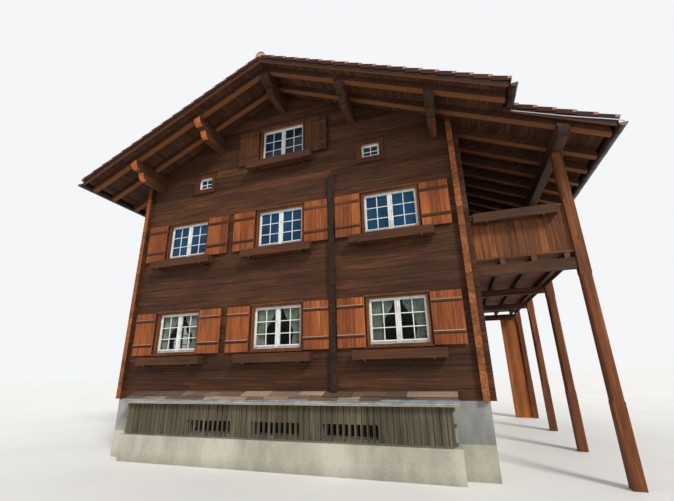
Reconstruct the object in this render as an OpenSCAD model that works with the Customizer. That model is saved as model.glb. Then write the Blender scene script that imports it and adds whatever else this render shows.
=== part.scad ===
// Alpine log chalet with three storeys under a gable roof and a timber gallery along its right side.
// X runs along the front wall, Y into the house and Z up. The front wall faces -Y.

/* [House] */
// Width of the house over its side walls
house_w = 8400; // [8000:50:9000]
// Depth of the house over its front and rear walls
house_d = 8400; // [8200:50:9600]
// Height from one floor to the next
storey_h = 2400; // [2350:10:2500]
// Level of the lowest timber floor above the ground
floor_level = 1450; // [1400:10:1500]
// Thickness of a log wall
wall_t = 120; // [110:5:140]
// Height of one course of squared logs
course_h = 200; // [180:5:220]
// How far the logs of two walls run past each other at a corner
log_end = 110; // [100:5:160]
// Depth of the groove between two courses
groove = 7; // [4:1:10]
// Thickness of a timber floor
floor_t = 200; // [160:10:200]
// Distance of the cross wall from the middle of the house
cross_wall_x = 1350; // [1300:10:1400]

/* [Base] */
// Height of the masonry plinth
plinth_h = 1250; // [1200:10:1280]
// Thickness of the plinth walls
plinth_t = 380; // [300:10:450]
// How far the plinth steps out in front of the log wall
ledge_out = 250; // [200:10:300]
// Half the width of that step
ledge_half = 3600; // [3400:10:3650]
// Height of the concrete curb at the foot of the step
curb_h = 530; // [500:10:560]
// Level of the top of the boards on the step
boarding_top = 1200; // [1150:10:1200]
// Width of one board there
boarding_w = 102; // [90:1:105]
// Distance from one board to the next
boarding_step = 115; // [112:1:125]

/* [Roof] */
// Pitch of the roof in degrees
pitch = 24.7; // [23:0.1:26]
// Level of the line where the two tile slopes meet
ridge_z = 9220; // [9150:10:9300]
// Distance of the main verges from the front and rear walls
verge_out = 1330; // [1200:10:1400]
// Distance of the main eaves from the middle of the house
eave_x = 5280; // [5200:10:5350]
// Distance of the gallery eave from the middle of the house
gallery_eave_x = 6990; // [6900:10:7050]
// Distance of the gallery verges from the front and rear walls
gallery_verge_out = 640; // [600:10:680]
// Thickness of the tiles on their battens
tile_t = 90; // [80:5:100]
// Thickness of the roof boards
board_t = 30; // [25:1:35]
// Depth of a rafter
rafter_h = 170; // [150:5:180]
// Width of a rafter
rafter_w = 140; // [120:5:150]
// Distance from one purlin to the next
purlin_step = 1900; // [1850:10:1920]
// Width of a purlin
purlin_w = 190; // [160:5:200]
// Height of a purlin at its middle
purlin_h = 200; // [180:5:220]
// How far the purlins run past the front and rear walls
purlin_out = 1090; // [1000:10:1100]
// How far the console logs under them run past the walls
console_out = 820; // [700:10:900]
// Radius of the rounded noses of purlins and consoles
nose_r = 180; // [120:10:190]
// Radius of a gutter
gutter_r = 72; // [60:1:80]

/* [Windows] */
// Width of a window frame
window_w = 1180; // [1100:10:1220]
// Height of a window frame
window_h = 915; // [880:5:940]
// Distance from the middle window to the outer ones
window_step = 2700; // [2650:10:2720]
// Height of a window head above its floor
head_up = 1750; // [1700:10:1780]
// Width of the frame of a small attic window
small_w = 440; // [400:10:480]
// Height of the frame of a small attic window
small_h = 360; // [330:10:390]
// Distance of the small attic windows from the middle
small_x = 2330; // [2280:10:2380]
// Thickness of the casing boards
casing_t = 45; // [35:1:50]
// Depth of a window frame behind the wall face
frame_in = 59; // [50:1:65]
// Width of a shutter
shutter_w = 600; // [580:5:620]
// Thickness of a shutter's boards
shutter_t = 26; // [20:1:30]
// Width of a window box
box_w = 1800; // [1600:10:1900]

/* [Gallery] */
// Distance of the gallery posts from the middle of the house
post_x = 6120; // [6080:10:6160]
// Width of a gallery post
post_w = 180; // [160:5:190]
// Distance of the end posts from the front and rear wall faces
post_in = 180; // [180:5:220]
// Number of posts along the gallery
posts = 4; // [3:1:5]
// Height of the parapet above the gallery floor
parapet_h = 950; // [900:10:1050]

/* [Hidden] */

half_w = house_w / 2;
half_d = house_d / 2;
slope = tan(pitch);
plumb = 1 / cos(pitch);
boards_top = tile_t;
boards_under = tile_t + board_t;
rafters_under = boards_under + rafter_h;
first_level = floor_level + storey_h;
attic_level = floor_level + 2 * storey_h;

hook_t = 4;
left_reach = eave_x + gutter_r + hook_t;
right_reach = gallery_eave_x + gutter_r + hook_t;
mid_x = (right_reach - left_reach) / 2;

opening_w = window_w + 2 * casing_t;
head_board_out = 25;
shutter_clear = 5;
shutter_x = opening_w / 2 + head_board_out + shutter_clear + shutter_w / 2;
small_down = 1060;
small_face = 110;
door_w = 920;
door_h = 1900;
door_frame = 60;
window_row = [-window_step, 0, window_step];
side_window_x = 2450;
side_row = [-side_window_x, 0, side_window_x];
gallery_row = [-side_window_x, side_window_x];

purlin_xs = [-2 * purlin_step, -purlin_step, 0, purlin_step, 2 * purlin_step];
ridge_purlin_extra = 50;
ridge_purlin_wider = 20;
rafter_rows = 14;
inner_rafter_y = 350;
inner_rafter_step = (house_d - 2 * inner_rafter_y) / (rafter_rows - 1);
flying_rafter_y = -980;
near_rafter_y = -400;
overhang_rows = [flying_rafter_y, near_rafter_y];
rafter_ys = concat(
    overhang_rows,
    [for (k = [0:rafter_rows - 1]) inner_rafter_y + k * inner_rafter_step],
    [for (y = overhang_rows) house_d - y]
);
rafter_end = 130;
rafter_bevel = 28;

post_step = (house_d - 2 * post_in) / (posts - 1);
post_ys = [for (k = [0:posts - 1]) post_in + k * post_step];
beam_h = 160;
end_beam_h = 205;
beam_w = 120;
joist_h = 110;
joist_w = 90;
gallery_side_x = post_x - post_w / 2;
joist_first = half_w + joist_w / 2;
joist_last = gallery_side_x - joist_w - joist_w / 2;
joist_xs = [for (k = [0:3]) joist_first + k * (joist_last - joist_first) / 3];
gallery_y0 = post_in - beam_w / 2;
gallery_y1 = house_d - gallery_y0;
gallery_board_t = 40;
gallery_floor_z = first_level;
gallery_joist_z = gallery_floor_z - gallery_board_t - joist_h;
gallery_rail_z = gallery_floor_z + parapet_h + 60;
post_chamfer = 20;
post_plain = 120;

log_wood = "#5e3a20";
lit_wood = "#a5622b";
dark_wood = "#4a2d1b";
new_wood = "#c4803c";
tile_red = "#8c4a33";
stone_white = "#cfcdc4";
frame_white = "#eceae2";
zinc = "#8f979c";
glass_blue = "#4d7288";

// Everything is drawn with the front wall face at y = 0 and is then moved so that the
// middle of the whole outline stands on the origin.
module house() {
    translate([-mid_x, -half_d, 0]) children();
}

// An outline in X and Z drawn out along Y.
module along_y(y0, y1) {
    translate([0, y1, 0]) rotate([90, 0, 0]) linear_extrude(height = y1 - y0) children();
}

// An outline in Y and Z drawn out along X.
module along_x(x0, x1) {
    translate([x0, 0, 0]) rotate([90, 0, 90]) linear_extrude(height = x1 - x0) children();
}

module block(x0, x1, y0, y1, z0, z1) {
    translate([x0, y0, z0]) cube([x1 - x0, y1 - y0, z1 - z0]);
}

// The four walls share one local frame: x to the right as seen from outside, y into the
// house from the outer face and z up.
module on_front() { children(); }
module on_rear() { translate([0, house_d, 0]) rotate([0, 0, 180]) children(); }
module on_left() { translate([-half_w, half_d, 0]) rotate([0, 0, -90]) children(); }
module on_right() { translate([half_w, half_d, 0]) rotate([0, 0, 90]) children(); }

// Level of the roof, measured square to the slope from the face of the tiles.
function roof_z(x, depth) = ridge_z - slope * abs(x) - depth * plumb;

// One layer of a roof slope; side is 1 on the right and -1 on the left.
module slope_layer(side, x0, x1, d0, d1, y0, y1) {
    along_y(y0, y1) polygon([
        [side * x0, roof_z(x0, d0)], [side * x1, roof_z(x1, d0)],
        [side * x1, roof_z(x1, d1)], [side * x0, roof_z(x0, d1)]
    ]);
}

// Log walls

// A joint every course; the first one stands a given height above the sill.
function joints(z0, z1, first) = [for (z = [z0 + first : course_h : z1 - groove * 2]) z];
function reversed(list) = [for (k = [len(list) - 1 : -1 : 0]) list[k]];

// Section of a wall of squared logs with a chamfered joint between courses.
module log_section(z0, z1, t, first = course_h) {
    zs = joints(z0, z1, first);
    outer = [for (z = zs) each [[0, z - groove], [groove, z], [0, z + groove]]];
    inner = [for (z = reversed(zs)) each [[t, z + groove], [t - groove, z], [t, z - groove]]];
    polygon(concat([[0, z0]], outer, [[0, z1], [t, z1]], inner, [[t, z0]]));
}

module gable_outline() {
    x = half_w - wall_t;
    polygon([
        [-x, plinth_h], [x, plinth_h], [x, roof_z(x, boards_under)],
        [0, roof_z(0, boards_under)], [-x, roof_z(x, boards_under)]
    ]);
}

module window_hole(x, head, w, h) {
    block(x - w / 2 - casing_t, x + w / 2 + casing_t, -50, wall_t + 50,
        head - h - casing_t, head + casing_t);
}

function head_of(level) = level + head_up;
small_head = head_of(attic_level) - small_down;

module gable_wall() {
    difference() {
        intersection() {
            along_x(-half_w, half_w) log_section(plinth_h, ridge_z, wall_t);
            along_y(-50, wall_t + 50) gable_outline();
        }
        for (x = window_row) {
            window_hole(x, head_of(floor_level), window_w, window_h);
            window_hole(x, head_of(first_level), window_w, window_h);
        }
        window_hole(0, head_of(attic_level), window_w, window_h);
        for (side = [-1, 1]) window_hole(side * small_x, small_head, small_w, small_h);
        for (x = purlin_xs) along_y(-50, wall_t + 50) purlin_section(x);
    }
}

// Section of a purlin, bevelled to the slope so that the rafters lie flat on it.
module purlin_section(x) {
    half = purlin_w / 2 + (x == 0 ? ridge_purlin_wider : 0);
    a = x - half;
    b = x + half;
    low = purlin_low(x);
    polygon(concat(
        [[a, low], [b, low], [b, roof_z(b, rafters_under)]],
        x == 0 ? [[0, roof_z(0, rafters_under)]] : [],
        [[a, roof_z(a, rafters_under)]]
    ));
}

// The side walls' courses lie half a course off those of the gable walls, as in a lapped corner.
module side_wall_section(under) {
    intersection() {
        log_section(plinth_h, ridge_z, wall_t, course_h / 2);
        polygon([
            [0, plinth_h], [wall_t, plinth_h],
            [wall_t, roof_z(half_w - wall_t, under)], [0, roof_z(half_w, under)]
        ]);
    }
}

// A side wall is drawn in its local frame. Its logs run on past both gable walls and make room
// for theirs, and its top course is cut round the rafters up to the roof boards.
module side_wall(side) {
    difference() {
        union() {
            along_x(-half_d - log_end, half_d + log_end) side_wall_section(rafters_under);
            along_x(-half_d, half_d) side_wall_section(boards_under);
        }
        translate([0, half_w, 0]) rotate([0, 0, side * -90]) translate([0, -half_d, 0]) rafters(side);
        corner_laps(half_d);
    }
}

// At a corner the logs of both walls pass through each other in turns, each cut down to half a
// course. These are the gable wall's turns; half is half the width of the wall that they lie in.
module corner_laps(half) {
    turns = floor((roof_z(half_w, rafters_under) - plinth_h + course_h / 4) / course_h);
    for (side = [-1, 1], k = [0:turns - 1])
        translate([side * (half - wall_t / 2), 0, plinth_h + course_h / 4 + k * course_h])
            block(-wall_t / 2, wall_t / 2, 0, wall_t, 0, course_h / 2);
}

// Ends of a gable wall's logs, where they come out beyond the side walls.
module corner_ends() {
    for (side = [-1, 1]) intersection() {
        along_x(side > 0 ? half_w : -half_w - log_end, side > 0 ? half_w + log_end : -half_w)
            log_section(plinth_h, ridge_z, wall_t);
        along_y(-50, wall_t + 50) polygon([
            [side * half_w, 0], [side * (half_w + log_end), 0],
            [side * (half_w + log_end), roof_z(half_w + log_end, rafters_under)],
            [side * half_w, roof_z(half_w, rafters_under)]
        ]);
    }
}

module front_wall() {
    color(log_wood) house() on_front() {
        gable_wall();
        corner_laps(half_w);
        corner_ends();
    }
}

module rear_wall() {
    color(log_wood) house() on_rear() {
        gable_wall();
        corner_laps(half_w);
        corner_ends();
    }
}

module left_wall() {
    color(log_wood) house() on_left() difference() {
        side_wall(-1);
        for (x = side_row) {
            window_hole(x, head_of(floor_level), window_w, window_h);
            window_hole(x, head_of(first_level), window_w, window_h);
        }
    }
}

module door_hole(level) {
    block(-door_w / 2 - door_frame, door_w / 2 + door_frame, -50, wall_t + 50,
        level - 1, level + door_h + door_frame);
}

module right_wall() {
    color(log_wood) house() on_right() difference() {
        side_wall(1);
        for (x = gallery_row) {
            window_hole(x, head_of(floor_level), window_w, window_h);
            window_hole(x, head_of(first_level), window_w, window_h);
        }
        door_hole(floor_level);
        door_hole(first_level);
    }
}

// Ends of the cross wall's logs where they come out through the front and rear walls.
module cross_wall_ends() {
    color(log_wood) house() for (turn = [0, 1])
        translate([0, turn * house_d, 0]) mirror([0, turn, 0])
            along_y(-log_end, 0) translate([cross_wall_x - wall_t / 2, 0])
                log_section(plinth_h, attic_level, wall_t, course_h / 2);
}

// Base

module vents() {
    for (x = vent_xs) translate([x, 0, vent_z]) children();
}

vent_xs = [-1365, 175, 1715];
vent_w = 1070;
vent_h = 240;
vent_z = 620;
vent_bar_w = 45;
curb_out = 60;

module plinth() {
    color(stone_white) house() difference() {
        union() {
            difference() {
                block(-half_w, half_w, 0, house_d, 0, plinth_h);
                block(-half_w + plinth_t, half_w - plinth_t, plinth_t, house_d - plinth_t,
                    -50, plinth_h + 50);
            }
            block(-ledge_half, ledge_half, -ledge_out, 0, 0, boarding_top);
            block(-ledge_half - curb_out, ledge_half + curb_out, -ledge_out - curb_out, 0, 0, curb_h);
        }
        vents() block(-vent_w / 2, vent_w / 2, -2 * ledge_out, plinth_t + 50, 0, vent_h);
    }
}

batten_out = 24;
boarding_t = 22;
boarding_gap = 35;

// Upright boards on battens. They stop over each vent, where thinner bars carry on.
module base_boards() {
    count = floor(2 * ledge_half / boarding_step);
    start = -count * boarding_step / 2 + boarding_step / 2;
    face = -ledge_out - batten_out;
    color("#8a8a80") house() {
        difference() {
            for (k = [0:count - 1]) {
                x = start + k * boarding_step;
                block(x - boarding_w / 2, x + boarding_w / 2, face - boarding_t, face,
                    curb_h + boarding_gap, boarding_top - 20);
            }
            vents() difference() {
                block(-vent_w / 2, vent_w / 2, -ledge_out - 100, 0, 0, vent_h);
                for (k = [-4:4])
                    block(k * boarding_step - vent_bar_w / 2, k * boarding_step + vent_bar_w / 2,
                        -ledge_out - 100, 0, -1, vent_h + 1);
            }
        }
        for (z = [curb_h + boarding_gap + 5, vent_z + vent_h, boarding_top - 90])
            block(-ledge_half, ledge_half, face, -ledge_out, z, z + 50);
    }
}

vent_frame = 40;
vent_frame_t = 50;
vent_frame_in = 60;
vent_pane_t = 6;

// Two small shut lights in a frame behind each vent.
module cellar_vents() {
    light = vent_w / 2 - 2 * vent_frame;
    color(dark_wood) house() vents() translate([0, vent_frame_in, 0]) {
        difference() {
            block(-vent_w / 2, vent_w / 2, 0, vent_frame_t, 0, vent_h);
            for (side = [-1, 1]) translate([side * vent_w / 4, 0, vent_frame])
                block(-light / 2, light / 2, -1, vent_frame_t + 1, 0, vent_h - 2 * vent_frame);
        }
        for (side = [-1, 1]) translate([side * vent_w / 4, vent_frame_t / 2, vent_frame])
            block(-light / 2, light / 2, 0, vent_pane_t, 0, vent_h - 2 * vent_frame);
    }
}

base_roof_side = 90;
base_roof_over = 190;
base_roof_rise = 140;
base_roof_t = 60;

// Small pent roof that sheds water from the step of the plinth.
module base_roof() {
    eave = ledge_out + base_roof_over;
    wall_low = boarding_top + base_roof_rise;
    color(tile_red) house() along_x(-ledge_half - base_roof_side, ledge_half + base_roof_side) polygon([
        [-eave, boarding_top], [-eave, boarding_top + base_roof_t],
        [0, wall_low + base_roof_t], [0, wall_low], [-ledge_out, boarding_top]
    ]);
}

// Floors

module floor_plate(level) {
    block(-half_w + wall_t, half_w - wall_t, wall_t, house_d - wall_t, level - floor_t, level);
}

module ground_floor() {
    color(new_wood) house() floor_plate(floor_level);
}

module first_floor() {
    color(new_wood) house() floor_plate(first_level);
}

module attic_floor() {
    color(new_wood) house() floor_plate(attic_level);
}

// Roof timbers

// What is cut away to round the lower front edge of a log whose tip is at the origin.
module nose_waste() {
    difference() {
        translate([-1, -1]) square(nose_r + 1);
        translate([nose_r, nose_r]) circle(r = nose_r, $fn = 64);
    }
}

function purlin_low(x) = roof_z(x, rafters_under) - purlin_h - (x == 0 ? ridge_purlin_extra : 0);

// A purlin that runs the same distance past both gable walls and ends in two rounded noses.
module purlin(x, out) {
    difference() {
        along_y(-out, house_d + out) purlin_section(x);
        for (turn = [0, 1]) translate([0, turn * house_d, 0]) mirror([0, turn, 0])
            along_x(x - purlin_w, x + purlin_w) translate([-out, purlin_low(x)]) nose_waste();
    }
}

module purlins() {
    color(dark_wood) house() {
        for (x = purlin_xs) purlin(x, purlin_out);
        purlin(post_x, gallery_verge_out - gallery_purlin_in);
    }
}

gallery_purlin_in = 60;
console_h = course_h;
console_w = 160;

// A console is one wall log that runs out under its purlin and ends in the same nose.
module consoles() {
    color(lit_wood) house() for (turn = [0, 1])
        translate([0, turn * house_d, 0]) mirror([0, turn, 0])
            for (x = purlin_xs) translate([0, 0, purlin_low(x) - console_h])
                along_x(x - console_w / 2, x + console_w / 2) difference() {
                    translate([-console_out, 0]) square([console_out, console_h]);
                    translate([-console_out, 0]) nose_waste();
                }
}

function over_gallery(y) = y > -gallery_verge_out && y < house_d + gallery_verge_out;

// Section across a rafter of the open overhang, from its top face down, with two bevelled edges.
module overhang_section() {
    half = rafter_w / 2;
    polygon([
        [-half, 0], [-half, rafter_bevel - rafter_h], [rafter_bevel - half, -rafter_h],
        [half - rafter_bevel, -rafter_h], [half, rafter_bevel - rafter_h], [half, 0]
    ]);
}

// It runs down the slope from the ridge and is cut off plumb at x = 0 and x = x1.
module overhang_rafter(side, y, x1) {
    mirror([side < 0 ? 1 : 0, 0, 0]) intersection() {
        translate([0, y, roof_z(0, boards_under)]) rotate([0, pitch, 0])
            along_x(-rafter_h, x1 * plumb + rafter_h) overhang_section();
        block(0, x1, y - rafter_w, y + rafter_w, 0, ridge_z);
    }
}

module rafters(side) {
    for (y = rafter_ys) {
        end = side > 0 && over_gallery(y) ? gallery_eave_x : eave_x;
        if (y < 0 || y > house_d) overhang_rafter(side, y, end - rafter_end);
        else slope_layer(side, 0, end - rafter_end, boards_under, rafters_under,
            y - rafter_w / 2, y + rafter_w / 2);
    }
}

module left_rafters() {
    color(dark_wood) house() rafters(-1);
}

module right_rafters() {
    color(dark_wood) house() rafters(1);
}

barge_t = 40;
barge_in = 20;
board_in = barge_in + barge_t;

module left_roof_boards() {
    color(lit_wood) house() slope_layer(-1, 0, eave_x - board_in, boards_top, boards_under,
        board_in - verge_out, house_d + verge_out - board_in);
}

module right_roof_boards() {
    color(lit_wood) house() slope_layer(1, 0, eave_x - board_in, boards_top, boards_under,
        board_in - verge_out, house_d + verge_out - board_in);
}

module gallery_roof_boards() {
    color(lit_wood) house() slope_layer(1, eave_x - board_in, gallery_eave_x - board_in,
        boards_top, boards_under,
        board_in - gallery_verge_out, house_d + gallery_verge_out - board_in);
}

module left_tiles() {
    color(tile_red) house() slope_layer(-1, 0, eave_x, 0, tile_t, -verge_out, house_d + verge_out);
}

module right_tiles() {
    color(tile_red) house() slope_layer(1, 0, eave_x, 0, tile_t, -verge_out, house_d + verge_out);
}

module gallery_tiles() {
    color(tile_red) house() slope_layer(1, eave_x, gallery_eave_x, 0, tile_t,
        -gallery_verge_out, house_d + gallery_verge_out);
}

ridge_cap_r = 125;
ridge_cap_down = 62;

// The ridge tiles fill the round cap above the two tile slopes.
module ridge_tiles() {
    reach = 2 * ridge_cap_r;
    color(tile_red) house() along_y(-verge_out, house_d + verge_out) difference() {
        translate([0, ridge_z - ridge_cap_down]) circle(r = ridge_cap_r, $fn = 64);
        polygon([
            [0, roof_z(0, 0)], [reach, roof_z(reach, 0)],
            [reach, roof_z(reach, 0) - reach], [-reach, roof_z(reach, 0) - reach],
            [-reach, roof_z(reach, 0)]
        ]);
    }
}

barge_low = 200;
barge_gap = 3;
barge_short = 85;
gallery_barge_x = eave_x + 60;

module barge(side, x0, x1, out) {
    slope_layer(side, x0, x1, boards_top, barge_low, barge_in - out, barge_in + barge_t - out);
}

module barge_boards() {
    color(lit_wood) house() for (turn = [0, 1])
        translate([0, turn * house_d, 0]) mirror([0, turn, 0]) {
            barge(1, barge_gap, eave_x - barge_short, verge_out);
            barge(-1, barge_gap, eave_x - barge_short, verge_out);
            barge(1, gallery_barge_x, gallery_eave_x - barge_short, gallery_verge_out);
        }
}

gutter_t = 4;
gutter_down = 55;
hook_w = 25;
hook_lap = 1;

module half_round(r) {
    difference() {
        circle(r = r, $fn = 48);
        translate([-r - 1, 0]) square([2 * r + 2, r + 1]);
    }
}

// A gutter hook: a strap bent round the gutter, whose inner end runs up to the roof boards.
module gutter_hook(x, z) {
    inner = x - gutter_r - hook_t;
    along_y(-hook_w / 2, hook_w / 2) {
        translate([x, z]) difference() {
            half_round(gutter_r + hook_t);
            circle(r = gutter_r - hook_lap, $fn = 48);
        }
        polygon([
            [inner, z - 1], [inner + hook_t + hook_lap, z - 1],
            [inner + hook_t + hook_lap, roof_z(inner + hook_t + hook_lap, boards_under)],
            [inner, roof_z(inner, boards_under)]
        ]);
    }
}

// A half round gutter under the eave at x, closed at both ends, with a hook at each rafter.
module gutter(side, x, y0, y1) {
    z = roof_z(x, tile_t) - gutter_down;
    mirror([side < 0 ? 1 : 0, 0, 0]) {
        translate([x, 0, z]) {
            along_y(y0, y1) difference() {
                half_round(gutter_r);
                circle(r = gutter_r - gutter_t, $fn = 48);
            }
            for (y = [y0, y1 - gutter_t]) along_y(y, y + gutter_t) half_round(gutter_r);
        }
        for (y = rafter_ys) if (y > y0 && y < y1) translate([0, y, 0]) gutter_hook(x, z);
    }
}

verge_strip_h = 14;
verge_strip_line = [[20, 187], [910, 157], [1740, 92]];

// A pale sheet strip on the gallery's verge board. Its line falls a little less than the roof.
module verge_strip() {
    top = [for (p = verge_strip_line) [eave_x + p[0], roof_z(eave_x + p[0], p[1])]];
    along_y(-gallery_verge_out, barge_in - gallery_verge_out) polygon(concat(
        top, [for (k = [2:-1:0]) top[k] - [0, verge_strip_h]]
    ));
}

stub_clear = 20;

module gutters() {
    color(zinc) house() {
        gutter(-1, eave_x, -verge_out, house_d + verge_out);
        gutter(1, gallery_eave_x, -gallery_verge_out, house_d + gallery_verge_out);
        for (turn = [0, 1]) translate([0, turn * house_d, 0]) mirror([0, turn, 0]) {
            gutter(1, eave_x, -verge_out, -gallery_verge_out - stub_clear);
            verge_strip();
        }
    }
}

// Windows

casing_out = 25;
head_board_t = 30;
head_board_d = 60;
sill_d = 55;

// Lining boards round a window, with a face board of its own width, a drip board and a sill.
module casing(w, h, face) {
    far = w / 2 + casing_t;
    wide = w / 2 + face + head_board_out;
    translate([0, 0, -h]) difference() {
        union() {
            block(-far, far, -casing_out, wall_t, -casing_t, h + casing_t);
            block(-w / 2 - face, w / 2 + face, -casing_out, 0, -face, h + face);
            block(-wide, wide, -head_board_d, 0, h + face, h + face + head_board_t);
            block(-wide, wide, -sill_d, 0, -face - head_board_t, -face);
        }
        block(-w / 2, w / 2, -casing_out - 1, wall_t + 1, 0, h);
    }
}

frame_t = 45;
frame_side = 50;
mullion = 110;
pane_t = 6;

module window_frame(w, h, leaves) {
    leaf = (w - 2 * frame_side - (leaves - 1) * mullion) / leaves;
    translate([0, frame_in, -h]) difference() {
        block(-w / 2, w / 2, 0, frame_t, 0, h);
        for (k = [0:leaves - 1])
            translate([-w / 2 + frame_side + k * (leaf + mullion), -1, frame_side])
                cube([leaf, frame_t + 2, h - 2 * frame_side]);
    }
}

module panes(w, h, leaves) {
    leaf = (w - 2 * frame_side - (leaves - 1) * mullion) / leaves;
    for (k = [0:leaves - 1])
        translate([-w / 2 + frame_side + k * (leaf + mullion), frame_in + frame_t / 2, -h + frame_side])
            cube([leaf, pane_t, h - 2 * frame_side]);
}

module each_window(level, row) {
    for (x = row) translate([x, 0, head_of(level)]) children();
}

module storey_sides(level) {
    on_front() each_window(level, window_row) children();
    on_rear() each_window(level, window_row) children();
    on_left() each_window(level, side_row) children();
    on_right() each_window(level, gallery_row) children();
}

module attic_sides() {
    on_front() each_window(attic_level, [0]) children();
    on_rear() each_window(attic_level, [0]) children();
}

module small_sides() {
    on_front() for (side = [-1, 1]) translate([side * small_x, 0, small_head]) children();
    on_rear() for (side = [-1, 1]) translate([side * small_x, 0, small_head]) children();
}

module ground_casings() {
    color(lit_wood) house() storey_sides(floor_level) casing(window_w, window_h, casing_t);
}

module first_casings() {
    color(lit_wood) house() storey_sides(first_level) casing(window_w, window_h, casing_t);
}

module attic_casings() {
    color(lit_wood) house() {
        attic_sides() casing(window_w, window_h, casing_t);
        small_sides() casing(small_w, small_h, small_face);
    }
}

module ground_windows() {
    color(frame_white) house() storey_sides(floor_level) window_frame(window_w, window_h, 2);
}

module first_windows() {
    color(frame_white) house() storey_sides(first_level) window_frame(window_w, window_h, 2);
}

module attic_windows() {
    color(frame_white) house() {
        attic_sides() window_frame(window_w, window_h, 2);
        small_sides() window_frame(small_w, small_h, 1);
    }
}

module window_glass() {
    color(glass_blue) house() {
        storey_sides(floor_level) panes(window_w, window_h, 2);
        storey_sides(first_level) panes(window_w, window_h, 2);
        attic_sides() panes(window_w, window_h, 2);
        small_sides() panes(small_w, small_h, 1);
    }
}

shutter_over = 45;
shutter_under = 60;
shutter_gap = 45;
batten_t = 26;
batten_h = 75;
batten_low = 190;
batten_high = 155;
pintle_r = 9;

// Section of a shutter batten, bevelled above and below so that rain runs off it.
module batten_section() {
    polygon([
        [0, 0], [-batten_t * 0.45, batten_h * 0.2], [-batten_t, batten_h * 0.45],
        [-batten_t, batten_h * 0.8], [-batten_t * 0.6, batten_h], [0, batten_h]
    ]);
}

// A boarded shutter, opened flat against the wall, with two battens and its pintles.
module shutter(x) {
    top = shutter_over;
    bottom = -window_h - shutter_under;
    front = -shutter_gap - shutter_t;
    translate([x, 0, 0]) {
        block(-shutter_w / 2, shutter_w / 2, front, -shutter_gap, bottom, top);
        for (z = [bottom + batten_low, top - batten_high - batten_h]) {
            translate([0, front, z]) along_x(-shutter_w / 2, shutter_w / 2) batten_section();
            translate([0, 0, z + batten_h / 2]) rotate([90, 0, 0])
                cylinder(r = pintle_r, h = shutter_gap, $fn = 24);
        }
    }
}

module shutter_pair() {
    shutter(-shutter_x);
    shutter(shutter_x);
}

module ground_shutters() {
    color(lit_wood) house() storey_sides(floor_level) shutter_pair();
}

module first_shutters() {
    color(lit_wood) house() storey_sides(first_level) shutter_pair();
}

module attic_shutters() {
    color(lit_wood) house() attic_sides() shutter_pair();
}

box_d = 200;
box_h = 180;
box_gap = 70;
box_down = 110;
box_side = 20;
soil_down = 20;
bracket_w = 40;
bracket_h = 30;
bracket_in = 250;

// A planting box on two brackets, drawn with its back against y = 0 and its rim at z = 0.
module planting_box(w, gap) {
    translate([0, -gap - box_d, 0]) {
        difference() {
            block(-w / 2, w / 2, 0, box_d, -box_h, 0);
            block(-w / 2 + box_side, w / 2 - box_side, box_side, box_d - box_side, -soil_down, 1);
        }
        for (side = [-1, 1]) translate([side * (w / 2 - bracket_in), 0, 0])
            block(-bracket_w / 2, bracket_w / 2, 0, box_d + gap, -box_h - bracket_h, -box_h);
    }
}

module box_row(level, row) {
    each_window(level, row) translate([0, 0, -window_h - box_down]) planting_box(box_w, box_gap);
}

module window_boxes() {
    color(dark_wood) house() on_front() {
        box_row(floor_level, window_row);
        box_row(first_level, window_row);
        box_row(attic_level, [0]);
    }
}

// Doors, both shut

door_in = 40;
door_t = 45;
door_out = 20;

// A plank door leaf in a frame, shut, without its furniture.
module plank_door(level) {
    far = door_w / 2 + door_frame;
    translate([0, 0, level]) {
        difference() {
            block(-far, far, -door_out, wall_t, 0, door_h + door_frame);
            block(-door_w / 2, door_w / 2, -door_out - 1, wall_t + 1, -1, door_h);
        }
        block(-door_w / 2, door_w / 2, door_in, door_in + door_t, 0, door_h);
    }
}

module entrance_door() {
    color(lit_wood) house() on_right() plank_door(floor_level);
}

module gallery_door() {
    color(lit_wood) house() on_right() plank_door(first_level);
}

// Gallery

// Underside of the cross beam at a post; the beams at both ends are deeper.
function beam_low(k) = gallery_joist_z - (k == 0 || k == posts - 1 ? end_beam_h : beam_h);

// Posts from the ground to the gallery purlin, with chamfered edges between foot and head.
module gallery_posts() {
    top = purlin_low(post_x);
    color(lit_wood) house() for (k = [0:posts - 1]) translate([post_x, post_ys[k], 0]) difference() {
        block(-post_w / 2, post_w / 2, -post_w / 2, post_w / 2, 0, top);
        for (turn = [0:90:270]) rotate([0, 0, turn]) translate([post_w / 2, post_w / 2, 0])
            for (part = [[plinth_h, beam_low(k) - post_plain], [gallery_rail_z, top - post_plain]])
                translate([0, 0, part[0]]) rotate([0, 0, 45])
                    block(-post_chamfer, post_chamfer, -post_chamfer, post_chamfer, 0, part[1] - part[0]);
    }
}

module gallery_beams() {
    color(dark_wood) house() for (k = [0:posts - 1])
        block(half_w, gallery_side_x, post_ys[k] - beam_w / 2, post_ys[k] + beam_w / 2,
            beam_low(k), gallery_joist_z);
}

module gallery_joists() {
    color(dark_wood) house() for (x = joist_xs)
        block(x - joist_w / 2, x + joist_w / 2, gallery_y0, gallery_y1,
            gallery_joist_z, gallery_joist_z + joist_h);
}

module gallery_floor() {
    color(lit_wood) house() block(half_w, gallery_side_x, gallery_y0, gallery_y1,
        gallery_floor_z - gallery_board_t, gallery_floor_z);
}

parapet_t = 40;
rail_w = 90;
rail_h = 50;

// One stretch of parapet along X: boards on edge under a flat rail, with its middle on y = 0.
module parapet_run(x0, x1, low) {
    block(x0, x1, -parapet_t / 2, parapet_t / 2, low, gallery_floor_z + parapet_h - rail_h);
    block(x0, x1, -rail_w / 2, rail_w / 2,
        gallery_floor_z + parapet_h - rail_h, gallery_floor_z + parapet_h);
}

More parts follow.
